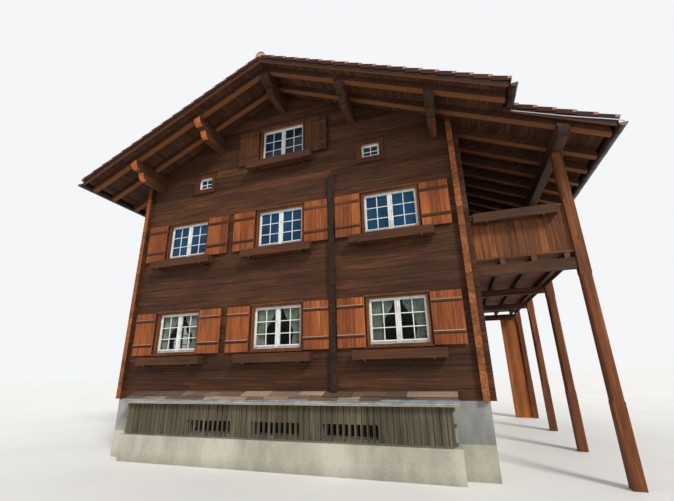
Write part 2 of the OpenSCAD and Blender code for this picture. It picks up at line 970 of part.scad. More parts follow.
// Between the posts the boards hang down in front of the floor and the joists. At both ends they
// stand on the floor, from the wall to the last post.
module gallery_parapet() {
    color(lit_wood) house() {
        for (k = [0:posts - 2])
            translate([gallery_side_x + parapet_t / 2, 0, 0]) rotate([0, 0, 90])
                parapet_run(post_ys[k] + post_w / 2, post_ys[k + 1] - post_w / 2, gallery_joist_z);
        for (y = [post_in, house_d - post_in])
            translate([0, y, 0]) parapet_run(half_w, gallery_side_x, gallery_floor_z);
    }
}

front_box_w = 1500;
side_box_w = 2200;
gallery_box_gap = 30;

module gallery_boxes() {
    rim = gallery_floor_z + parapet_h - 60;
    color(dark_wood) house() {
        translate([(half_w + gallery_side_x) / 2, post_in - parapet_t / 2, rim])
            planting_box(front_box_w, gallery_box_gap);
        translate([gallery_side_x + parapet_t, post_ys[0] + post_step / 2, rim]) rotate([0, 0, 90])
            planting_box(side_box_w, gallery_box_gap);
    }
}

screen_w = 560;

module passage_screen() {
    y = post_ys[posts - 1];
    color(new_wood) house() block(gallery_side_x - screen_w, gallery_side_x,
        y - parapet_t / 2, y + parapet_t / 2, 0, beam_low(posts - 1));
}

plinth();
base_boards();
base_roof();
cellar_vents();
ground_floor();
first_floor();
attic_floor();
front_wall();
rear_wall();
left_wall();
right_wall();
cross_wall_ends();
purlins();
consoles();
left_rafters();
right_rafters();
left_roof_boards();
right_roof_boards();
gallery_roof_boards();
left_tiles();
right_tiles();
gallery_tiles();
ridge_tiles();
barge_boards();
gutters();
ground_casings();
first_casings();
attic_casings();
ground_windows();
first_windows();
attic_windows();
window_glass();
ground_shutters();
first_shutters();
attic_shutters();
window_boxes();
entrance_door();
gallery_door();
gallery_beams();
gallery_joists();
gallery_floor();
gallery_posts();
gallery_parapet();
gallery_boxes();
passage_screen();
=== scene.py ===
"""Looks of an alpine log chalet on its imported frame: metres, +Z up, the gabled front towards -Y."""
import math
import random

import bpy
from mathutils import Matrix, Vector


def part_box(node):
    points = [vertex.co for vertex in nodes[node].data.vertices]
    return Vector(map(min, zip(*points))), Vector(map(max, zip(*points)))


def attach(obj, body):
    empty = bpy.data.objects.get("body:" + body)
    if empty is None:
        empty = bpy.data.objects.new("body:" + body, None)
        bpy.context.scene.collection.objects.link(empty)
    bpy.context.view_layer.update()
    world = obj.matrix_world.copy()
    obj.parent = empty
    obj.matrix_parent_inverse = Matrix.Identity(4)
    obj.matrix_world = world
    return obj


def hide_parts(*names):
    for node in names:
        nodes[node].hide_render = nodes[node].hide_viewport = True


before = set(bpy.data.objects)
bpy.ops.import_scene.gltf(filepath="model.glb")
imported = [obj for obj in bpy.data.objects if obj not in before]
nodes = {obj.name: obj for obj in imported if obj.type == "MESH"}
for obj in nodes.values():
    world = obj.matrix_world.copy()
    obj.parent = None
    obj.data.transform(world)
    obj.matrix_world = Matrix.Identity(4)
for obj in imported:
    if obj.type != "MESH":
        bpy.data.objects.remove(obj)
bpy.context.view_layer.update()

# Places read from the frame

UP = Vector((0, 0, 1))
RIDGE_X = sum(v.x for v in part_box("ridge_tiles")) / 2
FRONT_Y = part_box("front_wall")[0].y
REAR_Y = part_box("rear_wall")[1].y
LEFT_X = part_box("left_wall")[0].x
RIGHT_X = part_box("right_wall")[1].x
PLINTH_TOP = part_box("left_wall")[0].z
CROSS_X = sum(v.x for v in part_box("cross_wall_ends")) / 2
ROOF_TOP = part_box("left_tiles")[1].z
EAVE_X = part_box("right_tiles")[1].x
GUTTER_DROP = 0.055
GALLERY_VERGE_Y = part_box("gallery_tiles")[1].y
GALLERY_RIM_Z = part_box("gallery_tiles")[0].z - GUTTER_DROP
GALLERY_FLOOR_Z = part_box("gallery_floor")[1].z
FIRST_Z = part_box("first_floor")[1].z
ATTIC_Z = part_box("attic_floor")[1].z
COURSE = 0.2
BOARD_T = 0.03


def slope_angle(node):
    """Pitch of the node's largest face that looks up."""
    best = max((p for p in nodes[node].data.polygons if p.normal.z > 0.1), key=lambda p: p.area)
    return math.acos(best.normal.normalized().z)


PITCH = slope_angle("left_tiles")
EAVE_V = (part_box("right_tiles")[1].x - RIDGE_X) / math.cos(PITCH)
GALLERY_V = (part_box("gallery_tiles")[1].x - RIDGE_X) / math.cos(PITCH)
TILE_T = (ROOF_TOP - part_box("left_roof_boards")[1].z) * math.cos(PITCH)


def placed(x, y, z, origin):
    """Frame with these three axes at an origin."""
    place = Matrix((x, y, z)).transposed().to_4x4()
    place.translation = origin
    return place


def slope_place(side):
    """Frame of a roof slope: x along the eave, y down the slope from the ridge, z out of it."""
    along = Vector((0, -side, 0))
    down = Vector((side * math.cos(PITCH), 0, -math.sin(PITCH)))
    return placed(along, down, along.cross(down), (RIDGE_X, 0, ROOF_TOP))


def wall_place(outward, origin):
    """Frame of a wall: x to the right seen from outside, y into the house, z up."""
    inward = -Vector(outward)
    return placed(inward.cross(UP), inward, UP, origin)


def solids(node):
    """Lowest and highest corner of each separate solid of a node."""
    mesh = nodes[node].data
    spots = [tuple(round(c, 4) for c in v.co) for v in mesh.vertices]
    parent = {spot: spot for spot in spots}

    def find(spot):
        while parent[spot] != spot:
            parent[spot] = parent[parent[spot]]
            spot = parent[spot]
        return spot

    for p in mesh.polygons:
        first = find(spots[p.vertices[0]])
        for k in p.vertices[1:]:
            parent[find(spots[k])] = first
    boxes = {}
    for spot in parent:
        lo, hi = boxes.setdefault(find(spot), (list(spot), list(spot)))
        for a in range(3):
            lo[a] = min(lo[a], spot[a])
            hi[a] = max(hi[a], spot[a])
    return [(Vector(lo), Vector(hi)) for lo, hi in sorted(boxes.values())]


def on_wall(lo, hi):
    """Wall frame of a flat solid: origin at the middle of its outer top edge; also its width and height."""
    mid = (lo + hi) / 2
    size = hi - lo
    if size.x > size.y:
        side, face = (-1, lo) if mid.y < 0 else (1, hi)
        return wall_place((0, side, 0), (mid.x, face.y, hi.z)), size.x, size.z
    side, face = (-1, lo) if mid.x < RIDGE_X else (1, hi)
    return wall_place((side, 0, 0), (face.x, mid.y, hi.z)), size.y, size.z


# Mesh helpers

LEVEL = Matrix.Identity(4)


class Shape:
    """Faces of one mesh. Each face carries a tone from 0 to 1 and an edge value, which is above 0 on pale
    edges, partly wear and partly a painted highlight, and below 0 on sides darkened as painted shade."""

    def __init__(self):
        self.points, self.faces, self.tones, self.edges = [], [], [], []

    def add(self, place, points, faces, tone=0.5, edges=None):
        start = len(self.points)
        self.points += [place @ Vector(p) for p in points]
        self.faces += [[start + k for k in face] for face in faces]
        self.tones += [tone] * len(faces)
        self.edges += edges or [0.0] * len(faces)

    def prism(self, place, ring, axis, start, end, tone=0.5):
        """A closed outline drawn out along an axis. It runs anticlockwise in the next two axes."""
        a, b = (axis + 1) % 3, (axis + 2) % 3
        points = []
        for at in (start, end):
            for p in ring:
                point = [0, 0, 0]
                point[axis], point[a], point[b] = at, p[0], p[1]
                points.append(point)
        n = len(ring)
        faces = [[k, (k + 1) % n, n + (k + 1) % n, n + k] for k in range(n)]
        faces += [list(range(n - 1, -1, -1)), list(range(n, 2 * n))]
        self.add(place, points, faces, tone)

    def board(self, place, lo, hi, along, tone=0.5, edge=0.003):
        """A board with chamfered long edges that runs along one axis."""
        a, b = (along + 1) % 3, (along + 2) % 3
        x0, x1, y0, y1 = lo[a], hi[a], lo[b], hi[b]
        ring = [
            (x0 + edge, y0), (x1 - edge, y0), (x1, y0 + edge), (x1, y1 - edge),
            (x1 - edge, y1), (x0 + edge, y1), (x0, y1 - edge), (x0, y0 + edge),
        ]
        self.prism(place, ring, along, lo[along], hi[along], tone)

    def rod(self, place, centre, radius, axis, start, end, tone=0.5, sides=10):
        """A round rod along an axis; centre is its place in the next two axes."""
        turns = [k * math.tau / sides for k in range(sides)]
        ring = [(centre[0] + radius * math.cos(a), centre[1] + radius * math.sin(a)) for a in turns]
        self.prism(place, ring, axis, start, end, tone)


def add_object(name, data):
    """Makes an object and links it to the scene."""
    obj = bpy.data.objects.new(name, data)
    bpy.context.scene.collection.objects.link(obj)
    return obj


def piece(name, shape, material, replaced=(), smooth=None):
    """Makes a mesh object of a shape; it rides on the house and may stand for CAD nodes."""
    mesh = bpy.data.meshes.new(name)
    mesh.from_pydata(shape.points, [], shape.faces)
    for label, values in (("tone", shape.tones), ("edge", shape.edges)):
        layer = mesh.attributes.new(label, "FLOAT", "FACE")
        layer.data.foreach_set("value", values)
    if smooth is not None:
        mesh.polygons.foreach_set("use_smooth", [True] * len(mesh.polygons))
        mesh.set_sharp_from_angle(angle=math.radians(smooth))
    mesh.update()
    obj = add_object(name, mesh)
    mesh.materials.append(material)
    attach(obj, "root")
    if replaced:
        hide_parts(*replaced)
    return obj


def grid_faces(rows, columns):
    """Faces over rows of points that were listed row by row."""
    m = columns + 1
    return [[a, a + m, a + m + 1, a + 1] for r in range(rows) for a in range(r * m, r * m + columns)]


# Material helpers


def rgb(*screen):
    """A linear colour with alpha from 0 to 255 screen values."""
    shares = (c / 255 for c in screen)
    return (*(c / 12.92 if c <= 0.04045 else ((c + 0.055) / 1.055) ** 2.4 for c in shares), 1.0)


class Graph:
    """A node material under construction."""

    def __init__(self, name, roughness, shine=0.5):
        self.material = bpy.data.materials.new(name)
        self.material.use_nodes = True
        self.tree = self.material.node_tree
        self.shader = self.tree.nodes["Principled BSDF"]
        self.shader.inputs["Roughness"].default_value = roughness
        self.shader.inputs["Specular IOR Level"].default_value = shine
        self.place = self.new("ShaderNodeTexCoord").outputs["Object"]

    def feed(self, socket, value):
        if isinstance(value, bpy.types.NodeSocket):
            self.tree.links.new(value, socket)
        elif socket.type == "VECTOR":
            socket.default_value = value[:3]
        else:
            socket.default_value = value

    def new(self, kind, inputs=None, **settings):
        """A node with its settings, and with links or values for some of its inputs."""
        node = self.tree.nodes.new(kind)
        for key, value in settings.items():
            setattr(node, key, value)
        for key, value in (inputs or {}).items():
            self.feed(node.inputs[key], value)
        return node

    def math(self, operation, a, b=0.0):
        return self.new("ShaderNodeMath", {0: a, 1: b}, operation=operation).outputs[0]

    def times(self, a, b):
        return self.math("MULTIPLY", a, b)

    def above(self, a, b):
        """1 where a is greater than b, 0 elsewhere."""
        return self.math("GREATER_THAN", a, b)

    def between(self, value, low, high):
        """1 where the value lies between two limits, 0 elsewhere."""
        return self.times(self.above(value, low), self.math("LESS_THAN", value, high))

    def blend(self, a, b, share):
        """A share of a and the rest of b."""
        return self.math("ADD", self.times(a, share), self.times(b, 1 - share))

    def split(self, vector):
        return self.new("ShaderNodeSeparateXYZ", {0: vector}).outputs

    def join(self, x, y, z):
        return self.new("ShaderNodeCombineXYZ", {0: x, 1: y, 2: z}).outputs[0]

    def stretched(self, vector, scale, turn=(0, 0, 0)):
        return self.new("ShaderNodeMapping", {"Vector": vector, "Scale": scale, "Rotation": turn}).outputs[0]

    def noise(self, vector, scale, detail=3.0, roughness=0.55, distortion=0.0):
        inputs = {"Vector": vector, "Scale": scale, "Detail": detail, "Roughness": roughness,
                  "Distortion": distortion}
        return self.new("ShaderNodeTexNoise", inputs).outputs[0]

    def cells(self, vector):
        return self.new("ShaderNodeTexWhiteNoise", {"Vector": vector}, noise_dimensions="3D").outputs["Value"]

    def spots(self, vector, scale):
        return self.new("ShaderNodeTexVoronoi", {"Vector": vector, "Scale": scale}).outputs["Distance"]

    def ramp(self, value, *stops):
        """Colours at places from 0 to 1."""
        node = self.new("ShaderNodeValToRGB", {0: value})
        line = node.color_ramp.elements
        line[0].position, line[0].color = stops[0]
        line[1].position, line[1].color = stops[-1]
        for at, colour in stops[1:-1]:
            line.new(at).color = colour
        return node.outputs[0]

    def fade(self, value, low, high, to_low=0.0, to_high=1.0):
        """Maps low..high to to_low..to_high, and stops at both ends."""
        return self.new("ShaderNodeMapRange", {0: value, 1: low, 2: high, 3: to_low, 4: to_high}).outputs[0]

    def mix(self, share, a, b):
        """Colour a where share is 0 and colour b where it is 1."""
        return self.new("ShaderNodeMix", {0: share, 6: a, 7: b}, data_type="RGBA").outputs[2]

    def shade(self, colour, amount):
        """Multiplies a colour by a brightness."""
        return self.new("ShaderNodeVectorMath", {0: colour, "Scale": amount}, operation="SCALE").outputs[0]

    def label(self, name):
        return self.new("ShaderNodeAttribute", attribute_name=name).outputs["Fac"]

    def normal(self, axis):
        return self.split(self.new("ShaderNodeNewGeometry").outputs["Normal"])[axis]

    def facing(self, axis):
        """How squarely a face looks along an axis, from 0 to 1, whichever way."""
        return self.math("ABSOLUTE", self.normal(axis))

    def done(self, colour, height=None, distance=0.0, strength=0.0):
        self.feed(self.shader.inputs["Base Color"], colour)
        if height is not None:
            bump = self.new("ShaderNodeBump", {"Strength": strength, "Distance": distance, "Height": height})
            self.feed(self.shader.inputs["Normal"], bump.outputs[0])
        return self.material


WOOD_ROUGHNESS = 0.68
WOOD_SHINE = 0.2
MASONRY_SHINE = 0.25
GRAIN = (1.1, 26.0)
FINE_GRAIN = (5.0, 120.0)
BLOTS = (0.5, 1.6)
KNOTS = (1.3, 5.5)


def along(axis, scales):
    """The first scale along an axis and the second across it."""
    return tuple(scales[0] if k == axis else scales[1] for k in range(3))


def within_walls(g):
    """1 inside the outer wall faces, 0 outside."""
    x, y, _ = g.split(g.place)
    return g.times(g.between(x, LEFT_X, RIGHT_X), g.between(y, FRONT_Y, REAR_Y))


def from_ridge(g):
    """Distance from the ridge across the house."""
    return g.math("ABSOLUTE", g.math("SUBTRACT", g.split(g.place)[0], RIDGE_X))


def wood(name, colours, axis, tone=None, slope=False, end=None, under=None, over=None, reveal=False,
         nose=0.75, spread=0.5):
    """Timber with its grain along an axis, which slope turns into the roof's. tone gives each board's own
    brightness: a number or a function of the graph, or else the mesh's tone. end is the colour of end grain,
    or a function that gives it, and end grain begins where a face looks along the axis by the share nose.
    under is the colour of faces that look down, painted light (on the casings partly a cream paint), with
    reveal only of those in the openings, and over a painted highlight on faces that look up."""
    dark, mid, light = (rgb(*c) for c in colours)
    g = Graph(name, WOOD_ROUGHNESS, WOOD_SHINE)
    place = g.place
    if slope:
        _, y, z = g.split(place)
        place = g.stretched(g.join(from_ridge(g), y, z), (1, 1, 1), (0, PITCH, 0))
    grain = g.noise(g.stretched(place, along(axis, GRAIN)), 1.0, 4.0, 0.6, 0.35)
    fine = g.noise(g.stretched(place, along(axis, FINE_GRAIN)), 1.0, 3.0)
    blot = g.noise(g.stretched(place, along(axis, BLOTS)), 1.3, 3.0)
    knots = g.fade(g.spots(g.stretched(place, along(axis, KNOTS)), 1.0), 0.03, 0.13, 1.0, 0.0)
    colour = g.ramp(g.blend(grain, blot, 0.62), (0.27, dark), (0.5, mid), (0.73, light))
    colour = g.shade(colour, g.fade(fine, 0.35, 0.65, 0.8, 1.16))
    colour = g.mix(g.times(knots, 0.75), colour, g.shade(dark, 0.55))
    value = g.label("tone") if tone is None else tone(g) if callable(tone) else tone
    colour = g.shade(colour, g.fade(value, 0.0, 1.0, 1 - spread, 1 + spread))
    up = g.normal(2)
    if over is not None:
        # Faces that look up take the over colour: painted highlight.
        top = g.shade(over, g.fade(grain, 0.35, 0.65, 0.6, 1.15))
        colour = g.mix(g.fade(up, 0.3, 0.5), colour, top)
    if under is not None:
        # Faces that look down take the under colour: painted light.
        share = g.fade(g.times(up, -1.0), 0.5, 0.8)
        if reveal:
            share = g.times(share, within_walls(g))
        colour = g.mix(share, colour, g.shade(under, g.fade(fine, 0.35, 0.65, 0.85, 1.12)))
    if end is not None:
        rings = g.noise(place, 17.0, 7.0, 0.78)
        bright = g.times(g.fade(rings, 0.38, 0.62, 0.5, 1.45), g.fade(value, 0.0, 1.0, 0.62, 1.38))
        cut = g.shade(end(g) if callable(end) else end, bright)
        colour = g.mix(g.fade(g.facing(axis), nose, nose + 0.15), colour, cut)
    return g.done(colour, g.blend(grain, fine, 0.7), 0.004, 0.6)


def sunlit_left_of_ridge(sunlit_end):
    """End grain painted in its sunlit colour left of the ridge and painted dark, as shade, from the ridge on.
    """
    return lambda g: g.mix(g.above(g.split(g.place)[0], RIDGE_X - 0.5), sunlit_end, PAINTED_SHADE_END)


def log_tone(first):
    """Brightness of each log: every course and every stretch between two walls has its own."""
    def tone(g):
        x, y, z = g.split(g.place)
        course = g.math("FLOOR", g.math("DIVIDE", g.math("SUBTRACT", z, PLINTH_TOP - COURSE + first), COURSE))
        return g.cells(g.join(course, g.above(x, CROSS_X), g.above(y, 0.0)))
    return tone


def board_tone(width):
    """Brightness of boards of one width that lie side by side along x."""
    def tone(g):
        board = g.math("FLOOR", g.math("DIVIDE", g.split(g.place)[0], width))
        return g.cells(g.join(board, 0.0, 0.0))
    return tone


def small_window_tone(g):
    """Darker round the small attic windows than round the double one."""
    return g.fade(from_ridge(g), 1.6, 1.7, 0.5, 0.0)


# Colours: dark, middle and light of each wood, from 0 to 255

LOG = (38, 23, 15), (68, 41, 25), (106, 66, 38)
ROOF = (38, 24, 16), (66, 42, 28), (96, 62, 39)
SOFFIT = (48, 31, 21), (76, 50, 34), (104, 69, 45)
CONSOLE = (54, 34, 22), (82, 52, 33), (114, 73, 44)
PURLIN = (44, 28, 19), (70, 45, 30), (98, 64, 41)
TRIM = (62, 36, 22), (100, 59, 33), (142, 88, 49)
SHUTTER = (80, 40, 20), (128, 69, 35), (176, 103, 52)
# Battens are darker than the shutter boards, partly to stand in for the shade under them: painted shade in
# part.
BATTEN = (50, 29, 18), (80, 47, 28), (116, 71, 42)
POST = (56, 33, 20), (104, 60, 33), (152, 91, 49)
GREY = (50, 46, 36), (84, 77, 61), (118, 110, 90)
PALE = (140, 124, 100), (172, 156, 130), (196, 182, 156)
VENT = (28, 25, 20), (46, 42, 34), (66, 60, 48)
FLOOR = (120, 86, 54), (160, 120, 80), (190, 150, 106)
UPRIGHT = BATTEN[0], TRIM[1], TRIM[2]
SCREEN = TRIM[1], (150, 88, 44), (188, 116, 60)
BOX = ROOF[0], (74, 46, 29), TRIM[1]
# End grain of the logs in its sunlit look, painted sunlight in part; the cross wall's end grain below is the
# same wood painted in shade.
LOG_END = rgb(134, 79, 42)
PAINTED_SHADE_CROSS_END = rgb(42, 29, 22)
BEAM_END = rgb(84, 56, 38)
RAFTER_END = rgb(112, 68, 38)
# The console and purlin end colours are their sunlit look, painted sunlight in part; the dark end colour
# below is painted shade.
CONSOLE_END = rgb(198, 114, 56)
PURLIN_END = rgb(176, 101, 52)
PAINTED_SHADE_END = rgb(54, 38, 28)
# Lighter undersides of rafters and barge boards: painted light from below.
PAINTED_LIT_ROOF_UNDERSIDE = rgb(128, 78, 43)
# Pale undersides of the casing heads: partly a cream paint, partly painted reflected light.
CASING_UNDER = rgb(150, 138, 118)
# Pale top faces of the ground shutters' battens: painted highlight.
PAINTED_HIGHLIGHT_BATTEN_TOP = rgb(170, 146, 126)
LICHEN = rgb(134, 128, 104)

BASE_BOARD = 0.115
ROOM_BOARD = 0.16
ROUND_NOSE = 0.2
FOOT_TOP = 0.55

log_front = wood("logs_front", LOG, 0, log_tone(0.0), end=LOG_END, spread=0.28)
log_side = wood("logs_side", LOG, 1, log_tone(COURSE / 2), end=LOG_END, spread=0.28)
# The side logs' material again, with its end grain in painted shade.
log_cross = wood("logs_cross", LOG, 1, log_tone(COURSE / 2), end=PAINTED_SHADE_CROSS_END, spread=0.28)
beam_wood = wood("beams", ROOF, 1, 0.5, end=BEAM_END)
cross_beam_wood = wood("cross_beams", PURLIN, 0, 0.5, end=LOG_END)
rafter_wood = wood("rafters", ROOF, 0, 0.5, slope=True, end=RAFTER_END, under=PAINTED_LIT_ROOF_UNDERSIDE)
barge_wood = wood("barges", ROOF, 0, 0.0, slope=True, under=PAINTED_LIT_ROOF_UNDERSIDE)
soffit_wood = wood("soffit_boards", SOFFIT, 1, spread=0.24)
console_wood = wood("consoles_wood", CONSOLE, 1, 0.5, end=sunlit_left_of_ridge(CONSOLE_END), nose=ROUND_NOSE)
purlin_wood = wood("purlins_wood", PURLIN, 1, 0.5, end=sunlit_left_of_ridge(PURLIN_END), nose=ROUND_NOSE)
trim_wood = wood("casings_wood", TRIM, 2, 0.5, under=CASING_UNDER, reveal=True)
attic_trim_wood = wood("attic_casings_wood", TRIM, 2, small_window_tone, under=CASING_UNDER, reveal=True)
shutter_wood = wood("shutter_boards", SHUTTER, 2, spread=0.32)
attic_shutter_wood = wood("attic_shutter_boards", BATTEN, 2, spread=0.32)
batten_wood = wood("shutter_battens", BATTEN, 0, spread=0.2)
# Battens with pale top faces: painted highlight.
highlit_batten_wood = wood("highlit_battens", BATTEN, 0, spread=0.2, over=PAINTED_HIGHLIGHT_BATTEN_TOP)
post_wood = wood("posts_wood", POST, 2, 0.5, end=LOG_END)
upright_wood = wood("upright_boards", UPRIGHT, 2, spread=0.32)
screen_wood = wood("screen_boards", SCREEN, 2, spread=0.2)
walk_wood = wood("walk_boards", TRIM, 0, spread=0.25)
box_wood = wood("box_wood", BOX, 0, 0.5)
pale_wood = wood("pale_edge_board", PALE, 0, 0.5)
grey_wood = wood("grey_boards", GREY, 2, board_tone(BASE_BOARD), spread=0.3)
vent_wood = wood("vent_bars", VENT, 2, 0.5)
room_wood = wood("room_floor", FLOOR, 1, board_tone(ROOM_BOARD), spread=0.15)


def tile_material(name, *colours):
    """Weathered clay tiles in dark, middle and light, each with its own tone, and lichen. Edges above 0 take
    the nose's paler colour, the fourth, partly wear and partly painted highlight; those below 0 get painted
    shade."""
    dark, mid, light, nose = (rgb(*c) for c in colours)
    g = Graph(name, 0.82, MASONRY_SHINE)
    wide = g.noise(g.place, 1.1, 3.0)
    small = g.noise(g.place, 34.0, 4.0, 0.65)
    colour = g.ramp(g.blend(g.label("tone"), wide, 0.55), (0.15, dark), (0.5, mid), (0.85, light))
    colour = g.shade(colour, g.fade(small, 0.3, 0.7, 0.78, 1.18))
    lichen = g.fade(g.noise(g.place, 13.0, 5.0, 0.7), 0.6, 0.68)
    colour = g.mix(g.times(lichen, 0.45), colour, LICHEN)
    edge = g.label("edge")
    # Share of the pale nose colour on edges above 0: partly wear, partly painted highlight.
    worn = g.fade(small, 0.3, 0.6, 0.35, 0.85)
    colour = g.mix(g.times(g.math("MAXIMUM", edge, 0.0), worn), colour, nose)
    # Edges below 0 are darkened: painted shade.
    colour = g.shade(colour, g.fade(edge, -1.0, 0.0, 0.3, 1.0))
    return g.done(colour, small, 0.0025, 0.7)


def verge_strip_mask(g):
    """1 on the sheet strips of the gallery's verge boards, 0 on the gutters."""
    x, y, z = g.split(g.place)
    band = g.between(g.math("ABSOLUTE", y), GALLERY_VERGE_Y - 0.024, GALLERY_VERGE_Y + 0.001)
    return g.times(g.times(band, g.above(x, EAVE_X + 0.015)), g.above(z, GALLERY_RIM_Z + 0.01))


def metal_material(name, base, worn, metallic, strip=None):
    """Weathered sheet metal; strip is the colour of the gallery's verge strips."""
    g = Graph(name, 0.46)
    g.shader.inputs["Metallic"].default_value = metallic
    stain = g.noise(g.stretched(g.place, (1.5, 1.5, 6)), 2.2, 5.0, 0.65)
    spots = g.noise(g.place, 60.0, 3.0)
    colour = g.ramp(stain, (0.35, worn), (0.6, base))
    if strip is not None:
        colour = g.mix(verge_strip_mask(g), colour, strip)
    colour = g.shade(colour, g.fade(spots, 0.3, 0.7, 0.88, 1.08))
    return g.done(colour, spots, 0.0006, 0.5)


def masonry_material():
    """Rough stained plaster above a pale concrete foot, damp at the ground."""
    g = Graph("masonry", 0.9, MASONRY_SHINE)
    z = g.split(g.place)[2]
    rough = g.noise(g.place, 26.0, 5.0, 0.7)
    grains = g.noise(g.place, 140.0, 2.0)
    stain = g.noise(g.stretched(g.place, (1.2, 1.2, 0.45)), 1.4, 4.0)
    plaster = g.ramp(stain, (0.3, rgb(116, 118, 116)), (0.55, rgb(150, 151, 147)), (0.75, rgb(172, 171, 164)))
    concrete = g.ramp(stain, (0.3, rgb(158, 154, 140)), (0.6, rgb(194, 189, 174)))
    colour = g.mix(g.fade(z, FOOT_TOP, FOOT_TOP + 0.02), concrete, plaster)
    colour = g.shade(colour, g.fade(rough, 0.3, 0.7, 0.88, 1.06))
    damp = g.fade(g.math("ADD", z, g.times(rough, 0.12)), 0.03, 0.26, 0.72, 1.0)
    return g.done(g.shade(colour, damp), g.blend(rough, grains, 0.7), 0.006, 0.8)


def paint_material():
    """White paint on timber, a little dirty in places."""
    g = Graph("white_paint", 0.48)
    dirt = g.noise(g.stretched(g.place, (9, 9, 5)), 1.0, 5.0, 0.7)
    brush = g.noise(g.stretched(g.place, (60, 60, 6)), 1.0, 2.0)
    colour = g.ramp(dirt, (0.32, rgb(190, 188, 180)), (0.5, rgb(226, 227, 224)))
    return g.done(colour, brush, 0.0008, 0.5)


def glass_material():
    """Window glass: opaque above, with the sky's reflection and the dark rooms painted in as deep blue,
    see-through and dark on the ground storey.
    """
    g = Graph("window_panes", 0.05, 0.16)
    z = g.split(g.place)[2]
    wave = g.noise(g.stretched(g.place, (2.2, 2.2, 1.1)), 1.0, 2.0)
    # Deep blue and grey-blue panes: painted sky reflection.
    first = g.ramp(wave, (0.3, rgb(4, 42, 68)), (0.7, rgb(16, 68, 104)))
    attic = g.ramp(wave, (0.3, rgb(20, 30, 38)), (0.7, rgb(30, 56, 78)))
    upper = g.mix(g.above(z, ATTIC_Z), first, attic)
    high = g.above(z, FIRST_Z)
    g.feed(g.shader.inputs["Alpha"], g.fade(high, 0.0, 1.0, 0.24, 1.0))
    return g.done(g.mix(high, rgb(24, 28, 28), upper), wave, 0.004, 0.25)


def cloth_material():
    """Thin pale green cloth with a fine weave."""
    g = Graph("curtain_cloth", 0.9)
    g.shader.inputs["Sheen Weight"].default_value = 0.3
    warp = g.new("ShaderNodeTexWave", {"Vector": g.place, "Scale": 90.0}, bands_direction="Z")
    soft = g.noise(g.place, 7.0, 3.0)
    colour = g.ramp(soft, (0.3, rgb(158, 182, 158)), (0.7, rgb(206, 224, 204)))
    colour = g.shade(colour, g.fade(warp.outputs["Fac"], 0.0, 1.0, 0.93, 1.03))
    return g.done(colour, warp.outputs["Fac"], 0.0008, 0.5)


def earth_material():
    """Dark crumbly earth."""
    g = Graph("earth", 1.0)
    lumps = g.noise(g.place, 60.0, 5.0, 0.7)
    colour = g.ramp(lumps, (0.3, rgb(34, 26, 20)), (0.7, rgb(78, 60, 44)))
    return g.done(colour, lumps, 0.01, 1.0)


# The fourth colour of each tile material is the pale nose colour: partly wear, partly painted highlight.
clay = tile_material("clay_tiles", (78, 48, 38), (116, 70, 53), (150, 94, 70), (206, 146, 116))
ridge_clay = tile_material("ridge_clay", (92, 54, 42), (130, 80, 60), (160, 102, 78), (214, 170, 146))
slab_stone = tile_material("base_slab", (72, 58, 48), (112, 92, 76), (176, 148, 124), (206, 180, 166))
gutter_sheet = metal_material("gutter_sheet", rgb(88, 74, 70), rgb(56, 44, 40), 0.5, rgb(158, 172, 180))
pale_sheet = metal_material("pale_sheet", rgb(186, 196, 202), rgb(132, 144, 152), 0.4)
iron = metal_material("iron", rgb(52, 50, 50), rgb(60, 42, 34), 0.6)
masonry = masonry_material()
white_paint = paint_material()
glass = glass_material()
cloth = cloth_material()
earth = earth_material()

for material, names in (
    (log_front, "front_wall rear_wall"),
    (log_side, "left_wall right_wall"),
    (log_cross, "cross_wall_ends"),
    (beam_wood, "gallery_joists"),
    (cross_beam_wood, "gallery_beams"),
    (purlin_wood, "purlins"),
    (console_wood, "consoles"),
    (rafter_wood, "left_rafters right_rafters"),
    (barge_wood, "barge_boards"),
    (gutter_sheet, "gutters"),
    (trim_wood, "ground_casings first_casings"),
    (attic_trim_wood, "attic_casings"),
    (white_paint, "ground_windows first_windows attic_windows"),
    (glass, "window_glass"),
    (box_wood, "window_boxes gallery_boxes"),
    (post_wood, "gallery_posts"),
    (room_wood, "ground_floor first_floor attic_floor"),
    (masonry, "plinth"),
    (grey_wood, "base_boards"),
    (vent_wood, "cellar_vents"),
):
    for name in names.split():
        nodes[name].data.materials.clear()
        nodes[name].data.materials.append(material)

# Roof

GAUGE = 0.335
TILE_LAP = 0.07
TILE_W = 0.213
TILE_TOP = -0.009
TILE_TILT = 0.031
NOSE_THICK = 0.022
HEAD_THICK = 0.013
NOSE_BAND = 0.055
FLAP_T = 0.014
FLAP_DEEP = 0.085
FLAP_JOINT = 0.003
CORNER_LONG = 0.075
CORNER_DEEP = 0.044
# How strongly the verge tiles' nose corners are paled: a painted highlight, stronger on the left verge.
LEFT_CORNER_EDGE = 2.0
RIGHT_CORNER_EDGE = 0.6
TILE_WAVE = [
    (0.0, 0.004), (0.06, 0.009), (0.13, 0.005), (0.2, 0.0), (0.4, 0.0),
    (0.5, 0.006), (0.6, 0.0), (0.82, 0.0), (0.93, 0.006), (1.0, 0.008),
]


